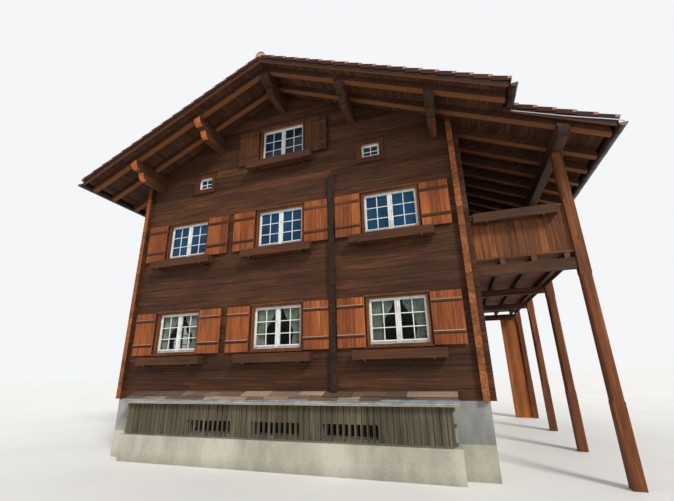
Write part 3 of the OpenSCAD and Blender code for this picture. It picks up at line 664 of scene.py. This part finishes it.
def one_tile(shape, place, u0, u1, nose, head, drop, tone):
    """One interlocking tile from its head, under the next course, down to its nose."""
    n = len(TILE_WAVE)
    rows = [
        (head, -TILE_TILT * (nose - head) / GAUGE, HEAD_THICK),
        (nose - NOSE_BAND, -TILE_TILT * NOSE_BAND / GAUGE, NOSE_THICK),
        (nose, -0.002, NOSE_THICK),
    ]
    points = [(u0 + t * (u1 - u0), v, w + h + TILE_TOP + drop) for v, w, _ in rows for t, h in TILE_WAVE]
    points += [(u0 + t * (u1 - u0), nose, TILE_TOP - NOSE_THICK + drop) for t, _ in TILE_WAVE]
    for v, w, thick in rows[:2]:
        points += [(u, v, w + TILE_TOP - thick + drop) for u in (u0, u1)]
    faces, edges = [], []
    for row, edge in ((0, 0.0), (1, 0.35), (2, 1.0)):
        for k in range(n - 1):
            a = row * n + k
            faces.append([a, a + 1, a + n + 1, a + n])
            edges.append(edge)
    head_a, head_b, band_a, band_b = range(4 * n, 4 * n + 4)
    faces += [[0, n, band_a, head_a], [n, 2 * n, 3 * n, band_a]]
    faces += [[2 * n - 1, n - 1, head_b, band_b], [3 * n - 1, 2 * n - 1, band_b, 4 * n - 1]]
    faces += [[head_a, band_a, band_b, head_b], [band_a, *range(3 * n, 4 * n), band_b]]
    faces += [[head_a, head_b, *range(n - 1, -1, -1)]]
    # The four sides of each tile get edge -0.9, which darkens them: painted shade.
    edges += [-0.9] * 4 + [0.0] * 3
    shape.add(place, points, faces, tone, edges)


def sheared_block(shape, place, u0, u1, v0, v1, deep, slant, tone, edge):
    """A block whose top and bottom rise by slant from its head v0 to its nose v1."""
    points = [(u, v, TILE_TOP - slant * (1 - k) + w) for k, v in enumerate((v0, v1)) for u in (u0, u1)
              for w in (-deep, 0.0)]
    faces = [[0, 1, 3, 2], [4, 6, 7, 5], [0, 4, 5, 1], [2, 3, 7, 6], [1, 5, 7, 3], [0, 2, 6, 4]]
    shape.add(place, points, faces, tone, [edge] * 6)


def verge_flap(shape, place, outer, turned, nose, tone, edge):
    """The side flap of a verge tile, down over the barge board's top, darkened as painted shade, with a pale
    corner at its nose as a painted highlight.
    """
    slant = TILE_TILT + 0.002
    inner = outer + turned * FLAP_T
    u0, u1 = sorted((outer + turned * 0.001, inner))
    head = nose - GAUGE + 0.004
    # Half tone and edge -1.0 darken the flap: painted shade.
    sheared_block(shape, place, u0, u1, head, nose - 0.002, FLAP_DEEP, slant, tone * 0.5, -1.0)
    u0, u1 = sorted((outer, inner + turned * 0.001))
    rise = slant * CORNER_LONG / GAUGE
    # The nose corner takes the pale nose colour: painted highlight.
    sheared_block(shape, place, u0, u1, nose - CORNER_LONG, nose, CORNER_DEEP, rise, 1.0, edge)


def tile_field(name, node, side, eave, top, seed):
    """Courses of tiles from the eave up, over the whole length of a tile layer."""
    lo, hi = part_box(node)
    start = lo.y
    columns = round((hi.y - start) / TILE_W)
    width = (hi.y - start) / columns
    draw = random.Random(seed)
    shape = Shape()
    place = slope_place(side)
    corner = LEFT_CORNER_EDGE if side < 0 else RIGHT_CORNER_EDGE
    nose = eave
    while nose > top + 0.1:
        head = max(nose - GAUGE - TILE_LAP, top)
        for c in range(columns):
            slip = draw.uniform(-0.004, 0.0)
            drop = draw.uniform(-0.0015, 0.0)
            tone = draw.random()
            u0, u1 = start + c * width, start + (c + 1) * width
            if c == 0:
                verge_flap(shape, place, u0, 1, nose, tone, corner)
                u0 += FLAP_JOINT
            elif c == columns - 1:
                verge_flap(shape, place, u1, -1, nose, tone, corner)
                u1 -= FLAP_JOINT
            one_tile(shape, place, u0, u1, nose + slip, head, drop, tone)
        nose -= GAUGE
    piece(name, shape, clay, [node], smooth=32)


tile_field("left_tile_courses", "left_tiles", -1, EAVE_V, 0.02, 11)
tile_field("right_tile_courses", "right_tiles", 1, EAVE_V, 0.02, 12)
tile_field("gallery_tile_courses", "gallery_tiles", 1, GALLERY_V, EAVE_V - 0.12, 13)

RIDGE_LENGTH = 0.395
RIDGE_RADIUS = 0.124
RIDGE_DOWN = 0.125
RIDGE_SPREAD = math.radians(104)
RIDGE_STEPS = 12
RIDGE_COLLAR = 0.05


def ridge_row():
    """Half-round ridge tiles, each with a collar that laps the next, and a closed end at both verges."""
    lo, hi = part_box("ridge_tiles")
    centre = (RIDGE_X, hi.z - RIDGE_DOWN)
    count = round((hi.y - lo.y) / RIDGE_LENGTH)
    length = (hi.y - lo.y) / count
    draw = random.Random(21)
    shape = Shape()

    def ring(inset, y):
        r = RIDGE_RADIUS - inset
        turns = [RIDGE_SPREAD - 2 * RIDGE_SPREAD * k / RIDGE_STEPS for k in range(RIDGE_STEPS + 1)]
        return [(centre[0] + r * math.sin(a), y, centre[1] + r * math.cos(a)) for a in turns]

    for k in range(count):
        y0 = lo.y + k * length
        tone = draw.random()
        sections = [(0, y0), (0, y0 + RIDGE_COLLAR), (0.009, y0 + RIDGE_COLLAR + 0.004),
                    (0.012, min(y0 + length + 0.03, hi.y))]
        points = [p for inset, y in sections for p in ring(inset, y)]
        points += ring(0.02, y0) + ring(0.026, sections[-1][1])
        m = RIDGE_STEPS + 1
        faces = grid_faces(3, RIDGE_STEPS)
        edges = [0.3] * RIDGE_STEPS + [0.0] * (2 * RIDGE_STEPS)
        for j in range(RIDGE_STEPS):
            faces.append([j, j + 1, 4 * m + j + 1, 4 * m + j])
            faces.append([3 * m + j + 1, 3 * m + j, 5 * m + j, 5 * m + j + 1])
            edges += [1.0, 0.3]
        shape.add(LEVEL, points, faces, tone, edges)
    for y, turned in ((lo.y + 0.012, False), (hi.y - 0.012, True)):
        cap = ring(0.018, y)
        face = list(range(len(cap)))
        shape.add(LEVEL, cap, [face[::-1] if turned else face], 0.6, [1.0])
    piece("ridge_row", shape, ridge_clay, ["ridge_tiles"], smooth=40)


ridge_row()

SOFFIT_W = 0.118
BOARD_JOINT = 0.0015


def plank_layer(name, node, side, v0, v1, seed):
    """Roof boards parallel to the ridge, butted here and there."""
    lo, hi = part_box(node)
    draw = random.Random(seed)
    shape = Shape()
    place = slope_place(side)
    count = round((v1 - v0) / SOFFIT_W)
    width = (v1 - v0) / count
    for k in range(count):
        v = v0 + k * width
        u = lo.y
        while u < hi.y - 0.01:
            end = min(u + draw.uniform(2.6, 4.6), hi.y)
            if hi.y - end < 0.8:
                end = hi.y
            shape.board(place, (u + 0.001, v + BOARD_JOINT, -TILE_T - BOARD_T),
                        (end - 0.001, v + width - BOARD_JOINT, -TILE_T), 0, draw.random(), 0.004)
            u = end
    piece(name, shape, soffit_wood, [node])


BOARD_SHORT = 0.06 / math.cos(PITCH)
BOARD_END = EAVE_V - BOARD_SHORT
plank_layer("left_soffit", "left_roof_boards", -1, 0.005, BOARD_END, 31)
plank_layer("right_soffit", "right_roof_boards", 1, 0.005, BOARD_END, 32)
plank_layer("gallery_soffit", "gallery_roof_boards", 1, BOARD_END, GALLERY_V - BOARD_SHORT, 33)

# The upright sheets at the eaves: how far in their two faces and how far down their edges are
SHEET_IN = (0.042, 0.058)
SHEET_TOP = 0.022
SHEET_FOOT = TILE_T / math.cos(PITCH) + GUTTER_DROP + SHEET_TOP


def closing_boards():
    """Boards between roof boards and tiles along the verges, and upright sheets from the eaves down into the
    gutters, all in the dark barge wood as painted shade behind the tiles' edges."""
    shape = Shape()
    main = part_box("left_tiles")
    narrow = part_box("gallery_tiles")
    for side, v0, v1, (lo, hi) in (
        (-1, 0.05, EAVE_V, main), (1, 0.05, EAVE_V, main), (1, EAVE_V, GALLERY_V, narrow),
    ):
        place = slope_place(side)
        for end, inward in ((lo.y, 1), (hi.y, -1)):
            a, b = sorted((end + inward * 0.016, end + inward * 0.036))
            shape.board(place, (a, v0, -TILE_T), (b, v1 - 0.03, -0.034), 1)
        stretches = [(lo.y + 0.04, hi.y - 0.04)]
        if side > 0 and v1 == EAVE_V:
            stretches = [(lo.y + 0.04, narrow[0].y), (narrow[1].y, hi.y - 0.04)]
        eave_x = v1 * math.cos(PITCH)
        eave_z = ROOF_TOP - v1 * math.sin(PITCH)
        x0, x1 = sorted(RIDGE_X + side * (eave_x - inset) for inset in SHEET_IN)
        for u0, u1 in stretches:
            shape.board(LEVEL, (x0, u0, eave_z - SHEET_FOOT), (x1, u1, eave_z - SHEET_TOP), 1)
    # Dark boards and sheets: painted shade.
    piece("closing_boards", shape, barge_wood)


closing_boards()

# Windows

FRAME_SIDE = 0.05
FRAME_T = 0.045
MULLION = 0.11
PANE_T = 0.006
BAR_W = 0.02
BAR_IN = 0.008
SASH_OUT = 0.007
SASH_RIM = 0.03
DOUBLE_WIDTH = 0.8


def window_bars(shape, place, w, h, leaves):
    """Sash faces, glazing bars, weather bars and the strip over the middle joint of one window."""
    leaf = (w - 2 * FRAME_SIDE - (leaves - 1) * MULLION) / leaves
    inner = h - 2 * FRAME_SIDE
    cross = 2 if leaves > 1 else 1
    glass_front = FRAME_T / 2
    rim = SASH_RIM
    for k in range(leaves):
        x0 = -w / 2 + FRAME_SIDE + k * (leaf + MULLION)
        x1 = x0 + leaf
        z0, z1 = -h + FRAME_SIDE, -FRAME_SIDE
        for a, b, low, high, axis in (
            (x0 - rim, x0, z0 - rim, z1 + rim, 2), (x1, x1 + rim, z0 - rim, z1 + rim, 2),
            (x0, x1, z1, z1 + rim, 0), (x0, x1, z0 - rim, z0, 0),
        ):
            shape.board(place, (a, -SASH_OUT, low), (b, 0, high), axis, edge=0.002)
        for front, back in ((BAR_IN, glass_front), (glass_front + PANE_T, FRAME_T - BAR_IN)):
            mid = (x0 + x1) / 2
            shape.board(place, (mid - BAR_W / 2, front, z0), (mid + BAR_W / 2, back, z1), 2)
            for j in range(1, cross + 1):
                z = z0 + inner * j / (cross + 1)
                shape.board(place, (x0, front + 0.001, z - BAR_W / 2), (x1, back, z + BAR_W / 2), 0)
        drip = [
            (-SASH_OUT, z0 - 0.004), (-SASH_OUT - 0.022, z0 - 0.004), (-SASH_OUT - 0.024, z0 + 0.006),
            (-SASH_OUT, z0 + 0.026),
        ]
        shape.prism(place, drip[::-1], 0, x0 - 0.012, x1 + 0.012)
        for z in (z0 + 0.1, z1 - 0.1):
            hinge = x0 - 0.036 if k == 0 else x1 + 0.036
            shape.rod(place, (hinge, -0.008), 0.007, 2, z - 0.03, z + 0.03, sides=8)
    if leaves > 1:
        front = -SASH_OUT - 0.012
        shape.board(place, (-0.014, front, -h + 0.02), (0.014, -SASH_OUT, -0.02), 2, edge=0.004)


def window_set(storey):
    """Bars and sash faces of all windows of a storey."""
    shape = Shape()
    for lo, hi in solids(storey + "_windows"):
        place, w, h = on_wall(lo, hi)
        window_bars(shape, place, w, h, 2 if w > DOUBLE_WIDTH else 1)
    piece(storey + "_bars", shape, white_paint)


for storey in ("ground", "first", "attic"):
    window_set(storey)

# Shutters

SHUTTER_GAP = 0.045
SHUTTER_T = 0.026
BATTEN_T = 0.026
BATTEN_H = 0.075
BATTEN_LOW = 0.19
BATTEN_HIGH = 0.155
BATTEN_IN = 0.012
NAIL_SHARES = (0.3, 0.7)
STRAP_LONG = 0.2
HOLDBACK_SHARE = 0.46


def one_shutter(boards, battens, irons, place, w, h, hinge, draw):
    """Upright boards, two bevelled battens with nails, hinge straps and a holdback."""
    front, back = BATTEN_T, BATTEN_T + SHUTTER_T
    cuts = [-w / 2, -w / 2 + w * draw.uniform(0.3, 0.36), w / 2 - w * draw.uniform(0.3, 0.36), w / 2]
    for a, b in zip(cuts, cuts[1:]):
        drop = draw.uniform(0, 0.004)
        boards.board(place, (a + BOARD_JOINT, front, -h + drop), (b - BOARD_JOINT, back, -drop), 2,
                     draw.random(), 0.005)
    for z in (-h + BATTEN_LOW, -BATTEN_HIGH - BATTEN_H):
        section = [
            (front, z), (front, z + BATTEN_H), (BATTEN_T * 0.4, z + BATTEN_H), (0.0, z + BATTEN_H * 0.8),
            (0.0, z + BATTEN_H * 0.45), (BATTEN_T * 0.55, z + BATTEN_H * 0.2),
        ]
        battens.prism(place, section[::-1], 0, -w / 2 + BATTEN_IN, w / 2 - BATTEN_IN, draw.random())
        for a, b in zip(cuts, cuts[1:]):
            for share in NAIL_SHARES:
                nail = (z + BATTEN_H * 0.6, a + (b - a) * share)
                irons.rod(place, nail, 0.004, 1, -0.0015, 0.001, sides=6)
        x = hinge * (w / 2)
        a, b = sorted((x - hinge * STRAP_LONG, x + hinge * 0.012))
        irons.board(place, (a, back, z + 0.02), (b, back + 0.005, z + 0.052), 0, edge=0.001)
        irons.rod(place, (x + hinge * 0.01, back + 0.004), 0.008, 2, z + 0.006, z + 0.066, sides=8)
    x = -hinge * (w / 2 + 0.012)
    z = -h * HOLDBACK_SHARE
    for lo, hi, axis, edge in (
        ((x - 0.005, back - 0.03, z), (x + 0.005, back + SHUTTER_GAP, z + 0.012), 1, 0.001),
        ((x - 0.012, back - 0.034, z - 0.045), (x + 0.012, back - 0.028, z + 0.03), 2, 0.002),
    ):
        irons.board(place, lo, hi, axis, edge=edge)


def shutter_set(storey, seed, board_material=shutter_wood, batten_material=batten_wood):
    """All shutters of a storey. Each one's hinges are on the side of its window."""
    node = storey + "_shutters"
    casings = [on_wall(lo, hi)[0].translation for lo, hi in solids(storey + "_casings")]
    draw = random.Random(seed)
    boards, battens, irons = Shape(), Shape(), Shape()
    for lo, hi in solids(node):
        place, w, h = on_wall(lo, hi)
        near = min(casings, key=lambda c: (c - place.translation).length)
        hinge = 1 if (place.inverted() @ near).x > 0 else -1
        one_shutter(boards, battens, irons, place, w, h, hinge, draw)
    piece(storey + "_shutter_boards", boards, board_material, [node])
    piece(storey + "_shutter_battens", battens, batten_material)
    piece(storey + "_shutter_irons", irons, iron)


shutter_set("ground", 41, batten_material=highlit_batten_wood)
shutter_set("first", 42)
shutter_set("attic", 43, attic_shutter_wood)

# Curtains in the ground storey

CURTAIN_FLAT = (0.8, 0.86)
CURTAIN_BACK = 0.085
CURTAIN_TOP = -0.02
CURTAIN_SPANS = (0.46, 0.19, 0.23)
WAIST_SHARES = (0.68, 0.32)
CURTAIN_COLUMNS = 56
CURTAIN_ROWS = 18
CURTAIN_STEPS = [c / CURTAIN_COLUMNS for c in range(CURTAIN_COLUMNS + 1)]
PLEATS = 8


def pleat_depth(span, target):
    """Depth of a sine pleat that makes a row of this span as long as the cloth is wide."""
    low, high = 0.0, 0.2
    for _ in range(30):
        depth = (low + high) / 2
        row = [(span * t, depth * math.sin(t * PLEATS * math.tau)) for t in CURTAIN_STEPS]
        length = sum(math.dist(p, q) for p, q in zip(row, row[1:]))
        low, high = (depth, high) if length < target else (low, depth)
    return depth


def curtain_span(t):
    """Width of a curtain from its head (t = 0) to its foot (t = 1), with a waist as if tied back."""
    head, waist, foot = CURTAIN_SPANS
    above, below = WAIST_SHARES
    if t < above:
        s = t / above
        return head + (waist - head) * (s * s * (3 - 2 * s))
    s = (t - above) / below
    return waist + (foot - waist) * math.sin(s * math.pi / 2)


def curtains():
    """Two gathered curtains on a rail inside each window of the ground storey."""
    spans = [curtain_span(r / CURTAIN_ROWS) for r in range(CURTAIN_ROWS + 1)]
    depths = [pleat_depth(s, CURTAIN_FLAT[0]) for s in spans]
    quads = grid_faces(CURTAIN_ROWS, CURTAIN_COLUMNS)
    rails = Shape()
    for number, (lo, hi) in enumerate(solids("ground_windows"), 1):
        place, w, _ = on_wall(lo, hi)
        rails.rod(place, (CURTAIN_BACK, CURTAIN_TOP), 0.006, 0, -w / 2 + 0.01, w / 2 - 0.01, sides=8)
        for side, hand in ((-1, "left"), (1, "right")):
            points = []
            for r, (span, depth) in enumerate(zip(spans, depths)):
                z = CURTAIN_TOP - CURTAIN_FLAT[1] * r / CURTAIN_ROWS
                for t in CURTAIN_STEPS:
                    x = side * (w / 2 - 0.045 - span * t)
                    y = CURTAIN_BACK + depth * math.sin(t * PLEATS * math.tau)
                    points.append((x, y, z))
            shape = Shape()
            shape.add(place, points, quads if side < 0 else [q[::-1] for q in quads])
            obj = piece(f"curtain_{number}_{hand}", shape, cloth, smooth=80)
    piece("curtain_rails", rails, iron)


curtains()

# Window boxes

BOX_RIM = 0.022
BOX_DEEP = 0.2
EARTH_CELL = 0.035


def box_earth():
    """Lumpy earth in the planting boxes."""
    draw = random.Random(51)
    shape = Shape()
    for node in ("window_boxes", "gallery_boxes"):
        for lo, hi in solids(node):
            if hi.x - lo.x > hi.y - lo.y:
                x0, y1 = lo.x + BOX_RIM, lo.y + BOX_DEEP - BOX_RIM
            else:
                x0, y1 = hi.x - BOX_DEEP + BOX_RIM, hi.y - BOX_RIM
            x1, y0 = hi.x - BOX_RIM, lo.y + BOX_RIM
            nx = max(3, round((x1 - x0) / EARTH_CELL))
            ny = max(3, round((y1 - y0) / EARTH_CELL))
            points = []
            for i in range(nx + 1):
                for j in range(ny + 1):
                    rise = draw.uniform(-0.014, 0.0) if 0 < i < nx and 0 < j < ny else -0.019
                    points.append((x0 + (x1 - x0) * i / nx, y0 + (y1 - y0) * j / ny, hi.z + rise))
            shape.add(LEVEL, points, grid_faces(nx, ny))
    piece("box_earth", shape, earth, smooth=60)


box_earth()

# Gallery and doors

RAIL_H = 0.05
FLOOR_BOARD = 0.14
PARAPET_BOARD = 0.13
SCREEN_BOARDS = 4
TIGHT_JOINT = 0.0004


def gallery_walk():
    """Floor boards across the gallery, a rail and upright boards as its parapet, and the passage screen."""
    draw = random.Random(61)
    lo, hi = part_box("gallery_floor")
    count = round((hi.y - lo.y) / FLOOR_BOARD)
    step = (hi.y - lo.y) / count
    floor = Shape()
    for k in range(count):
        y = lo.y + k * step
        end = hi.x - 0.012 + draw.uniform(0.0, 0.012)
        floor.board(LEVEL, (lo.x, y + 0.002, lo.z), (end, y + step - 0.002, hi.z), 0, draw.random(), 0.004)
    piece("gallery_floor_boards", floor, walk_wood, ["gallery_floor"])
    panels, rails, screen = Shape(), Shape(), Shape()
    for a, b in solids("gallery_parapet"):
        size = b - a
        run = 0 if size.x > size.y else 1
        across = 1 - run
        mid = (a[across] + b[across]) / 2
        out = -1 if run == 0 and mid < 0 else 1
        count = round(size[run] / PARAPET_BOARD)
        width = size[run] / count
        boards = []
        for k in range(count):
            ends = a[run] + k * width + TIGHT_JOINT, a[run] + (k + 1) * width - TIGHT_JOINT
            boards.append((panels, *ends, a.z, b.z - RAIL_H, -0.004, 0.02))
        for rail in (
            (b.z - RAIL_H, b.z, -0.045, 0.045),
            (GALLERY_FLOOR_Z + 0.1, GALLERY_FLOOR_Z + 0.17, -0.03, -0.004),
            (b.z - 0.2, b.z - 0.13, -0.03, -0.004),
        ):
            boards.append((rails, a[run], b[run], *rail))
        for shape, start, end, z0, z1, inner, outer in boards:
            p, q = [0, 0, z0], [0, 0, z1]
            p[run], q[run] = start, end
            p[across], q[across] = sorted((mid + out * inner, mid + out * outer))
            shape.board(LEVEL, p, q, 2 if shape is panels else run, draw.random(), 0.006)
    a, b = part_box("passage_screen")
    width = (b.x - a.x) / SCREEN_BOARDS
    for k in range(SCREEN_BOARDS):
        x = a.x + k * width
        screen.board(LEVEL, (x + TIGHT_JOINT, a.y + 0.008, a.z), (x + width - TIGHT_JOINT, b.y - 0.008, b.z),
                     2, draw.random(), 0.006)
    piece("gallery_boards", panels, upright_wood, ["gallery_parapet"])
    piece("screen_boards", screen, screen_wood, ["passage_screen"])
    piece("gallery_rails", rails, walk_wood)


gallery_walk()

JAMB = 0.06
LEAF_IN = 0.06
LEAF_T = 0.045
DOOR_PLANKS = 6
HANDLE_UP = 1.02


def plank_door(node, draw):
    """Upright planks in the CAD frame's place, with a frame, strap hinges and a lever handle."""
    lo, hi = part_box(node)
    place, w, h = on_wall(lo, hi)
    timber, irons = Shape(), Shape()
    depth = hi.x - lo.x
    left, right = -w / 2 + JAMB, w / 2 - JAMB
    for x0, x1 in ((-w / 2, left), (right, w / 2)):
        timber.board(place, (x0, 0, -h), (x1, depth, -JAMB), 2, 0.3, 0.005)
    timber.board(place, (-w / 2, 0, -JAMB), (w / 2, depth, 0), 0, 0.35, 0.005)
    width = (w - 2 * JAMB) / DOOR_PLANKS
    for k in range(DOOR_PLANKS):
        x = left + k * width
        timber.board(place, (x + 0.001, LEAF_IN, -h), (x + width - 0.001, LEAF_IN + LEAF_T, -JAMB), 2,
                     draw.random(), 0.006)
    for z in (-h + 0.28, -JAMB - 0.34):
        strap = (left + 0.01, LEAF_IN - 0.006, z), (right - 0.22, LEAF_IN, z + 0.04)
        irons.board(place, *strap, 0, edge=0.002)
        irons.rod(place, (left, LEAF_IN - 0.008), 0.011, 2, z - 0.03, z + 0.07)
    x = right - 0.07
    z = -h + HANDLE_UP
    irons.board(place, (x - 0.022, LEAF_IN - 0.005, z - 0.11), (x + 0.022, LEAF_IN, z + 0.09), 2, edge=0.002)
    irons.rod(place, (z, x), 0.008, 1, LEAF_IN - 0.05, LEAF_IN - 0.004, sides=8)
    lever = (x - 0.12, LEAF_IN - 0.056, z - 0.009), (x + 0.01, LEAF_IN - 0.042, z + 0.009)
    irons.board(place, *lever, 0, edge=0.004)
    piece(node + "_planks", timber, upright_wood, [node])
    piece(node + "_irons", irons, iron)


door_draw = random.Random(71)
plank_door("entrance_door", door_draw)
plank_door("gallery_door", door_draw)

# Base

SHEET_STRIP = 0.17
SLAB_SHORT = 0.3
SLAB_LONG = 0.72
PENT_ROOF_T = 0.06


def pent_roof():
    """Two rows of uneven flat slabs above a folded sheet edge and a pale edge board, on boards."""
    lo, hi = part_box("base_roof")
    draw = random.Random(81)
    slabs, sheet, edge_board, timber = Shape(), Shape(), Shape(), Shape()
    run = hi.y - lo.y
    angle = math.atan2(hi.z - lo.z - PENT_ROOF_T, run)
    place = Matrix.Translation((0, lo.y, lo.z + PENT_ROOF_T / 2)) @ Matrix.Rotation(angle, 4, "X")
    length = run / math.cos(angle)
    for v0, v1, lift in ((SHEET_STRIP - 0.02, length * 0.66, 0.004), (length * 0.55, length - 0.012, 0.026)):
        x = lo.x + 0.01
        while x < hi.x - 0.05:
            end = x + draw.uniform(SLAB_SHORT, SLAB_LONG)
            if hi.x - end < SLAB_SHORT:
                end = hi.x - 0.01
            thick = draw.uniform(0.014, 0.026)
            front = v0 + draw.uniform(-0.06, 0.02)
            corners = (x + 0.003, front, lift), (end - 0.003, v1, lift + thick)
            slabs.board(place, *corners, 0, draw.random(), 0.004)
            x = end
    sheet.board(place, (lo.x, 0.0, -0.004), (hi.x, SHEET_STRIP, 0.003), 0, edge=0.001)
    sheet.board(place, (lo.x, -0.002, -0.012), (hi.x, 0.004, 0.006), 0, edge=0.001)
    edge_board.board(place, (lo.x + 0.01, 0.006, -0.05), (hi.x - 0.01, 0.032, -0.004), 0)
    timber.board(place, (lo.x + 0.02, 0.055, -0.026), (hi.x - 0.02, length - 0.02, -0.004), 0)
    piece("base_slabs", slabs, slab_stone, ["base_roof"])
    piece("base_sheet", sheet, pale_sheet)
    piece("base_edge_board", edge_board, pale_wood)
    piece("base_roof_boards", timber, grey_wood)


pent_roof()

# Floor, light and camera

FLOOR_REACH = 90.0
SUN_STRENGTH = 2.4
SUN_ANGLE = 14
SUN_WAY = (-0.62, 0.6, -0.62)
SUN_COLOUR = (1.0, 0.96, 0.9)
SKY_STRENGTH = 0.72
SKY_COLOUR = (0.97, 0.98, 1.0, 1.0)
CAMERA_AT = (2.918, -11.352, 1.864)
CAMERA_YAW, CAMERA_PITCH, CAMERA_ROLL = 17.98, 18.29, -1.22
LENS = 18.85


def stage():
    """A plain pale floor."""
    mesh = bpy.data.meshes.new("floor")
    corners = [(x * FLOOR_REACH, y * FLOOR_REACH, 0) for x, y in ((-1, -1), (1, -1), (1, 1), (-1, 1))]
    mesh.from_pydata(corners, [], [(0, 1, 2, 3)])
    obj = add_object("floor", mesh)
    g = Graph("floor_pale", 0.9)
    clouds = g.noise(g.place, 0.4, 2.0)
    mesh.materials.append(g.done(g.ramp(clouds, (0.3, rgb(226, 226, 224)), (0.7, rgb(232, 232, 230)))))


def lamps():
    """A broad lamp from the right in front, and a pale sky that the camera, gloss and glass see as white."""
    lamp = bpy.data.lights.new("key", "SUN")
    lamp.energy = SUN_STRENGTH
    lamp.angle = math.radians(SUN_ANGLE)
    lamp.color = SUN_COLOUR
    obj = add_object("key", lamp)
    obj.rotation_mode = "QUATERNION"
    obj.rotation_quaternion = Vector(SUN_WAY).to_track_quat("-Z", "Y")
    world = bpy.data.worlds.new("sky")
    bpy.context.scene.world = world
    world.use_nodes = True
    tree = world.node_tree
    tree.nodes.clear()
    path, either, seen, sky, white, blend, out = (tree.nodes.new("ShaderNode" + kind) for kind in (
        "LightPath", "Math", "Math", "Background", "Background", "MixShader", "OutputWorld"))
    either.operation = seen.operation = "ADD"
    seen.use_clamp = True
    sky.inputs["Color"].default_value = SKY_COLOUR
    sky.inputs["Strength"].default_value = SKY_STRENGTH
    white.inputs["Color"].default_value = rgb(244, 246, 248)
    for source, socket in (
        (path.outputs["Is Camera Ray"], either.inputs[0]), (path.outputs["Is Glossy Ray"], either.inputs[1]),
        (either.outputs[0], seen.inputs[0]), (path.outputs["Is Transmission Ray"], seen.inputs[1]),
        (seen.outputs[0], blend.inputs[0]), (sky.outputs[0], blend.inputs[1]),
        (white.outputs[0], blend.inputs[2]), (blend.outputs[0], out.inputs[0]),
    ):
        tree.links.new(source, socket)


def camera():
    """The camera of the photograph, fitted to the front wall's measured points."""
    yaw, pitch, roll = (math.radians(a) for a in (CAMERA_YAW, CAMERA_PITCH, CAMERA_ROLL))
    ahead = Vector((-math.sin(yaw) * math.cos(pitch), math.cos(yaw) * math.cos(pitch), math.sin(pitch)))
    level_right = Vector((math.cos(yaw), math.sin(yaw), 0))
    level_up = level_right.cross(ahead)
    right = level_right * math.cos(roll) + level_up * math.sin(roll)
    up = level_up * math.cos(roll) - level_right * math.sin(roll)
    data = bpy.data.cameras.new("camera")
    data.sensor_width = 36.0
    data.lens = LENS
    data.clip_end = 400.0
    obj = add_object("camera", data)
    obj.matrix_world = placed(right, up, -ahead, CAMERA_AT)
    bpy.context.scene.camera = obj


stage()
lamps()
camera()
bpy.context.scene.view_settings.view_transform = "Standard"

bpy.context.view_layer.update()
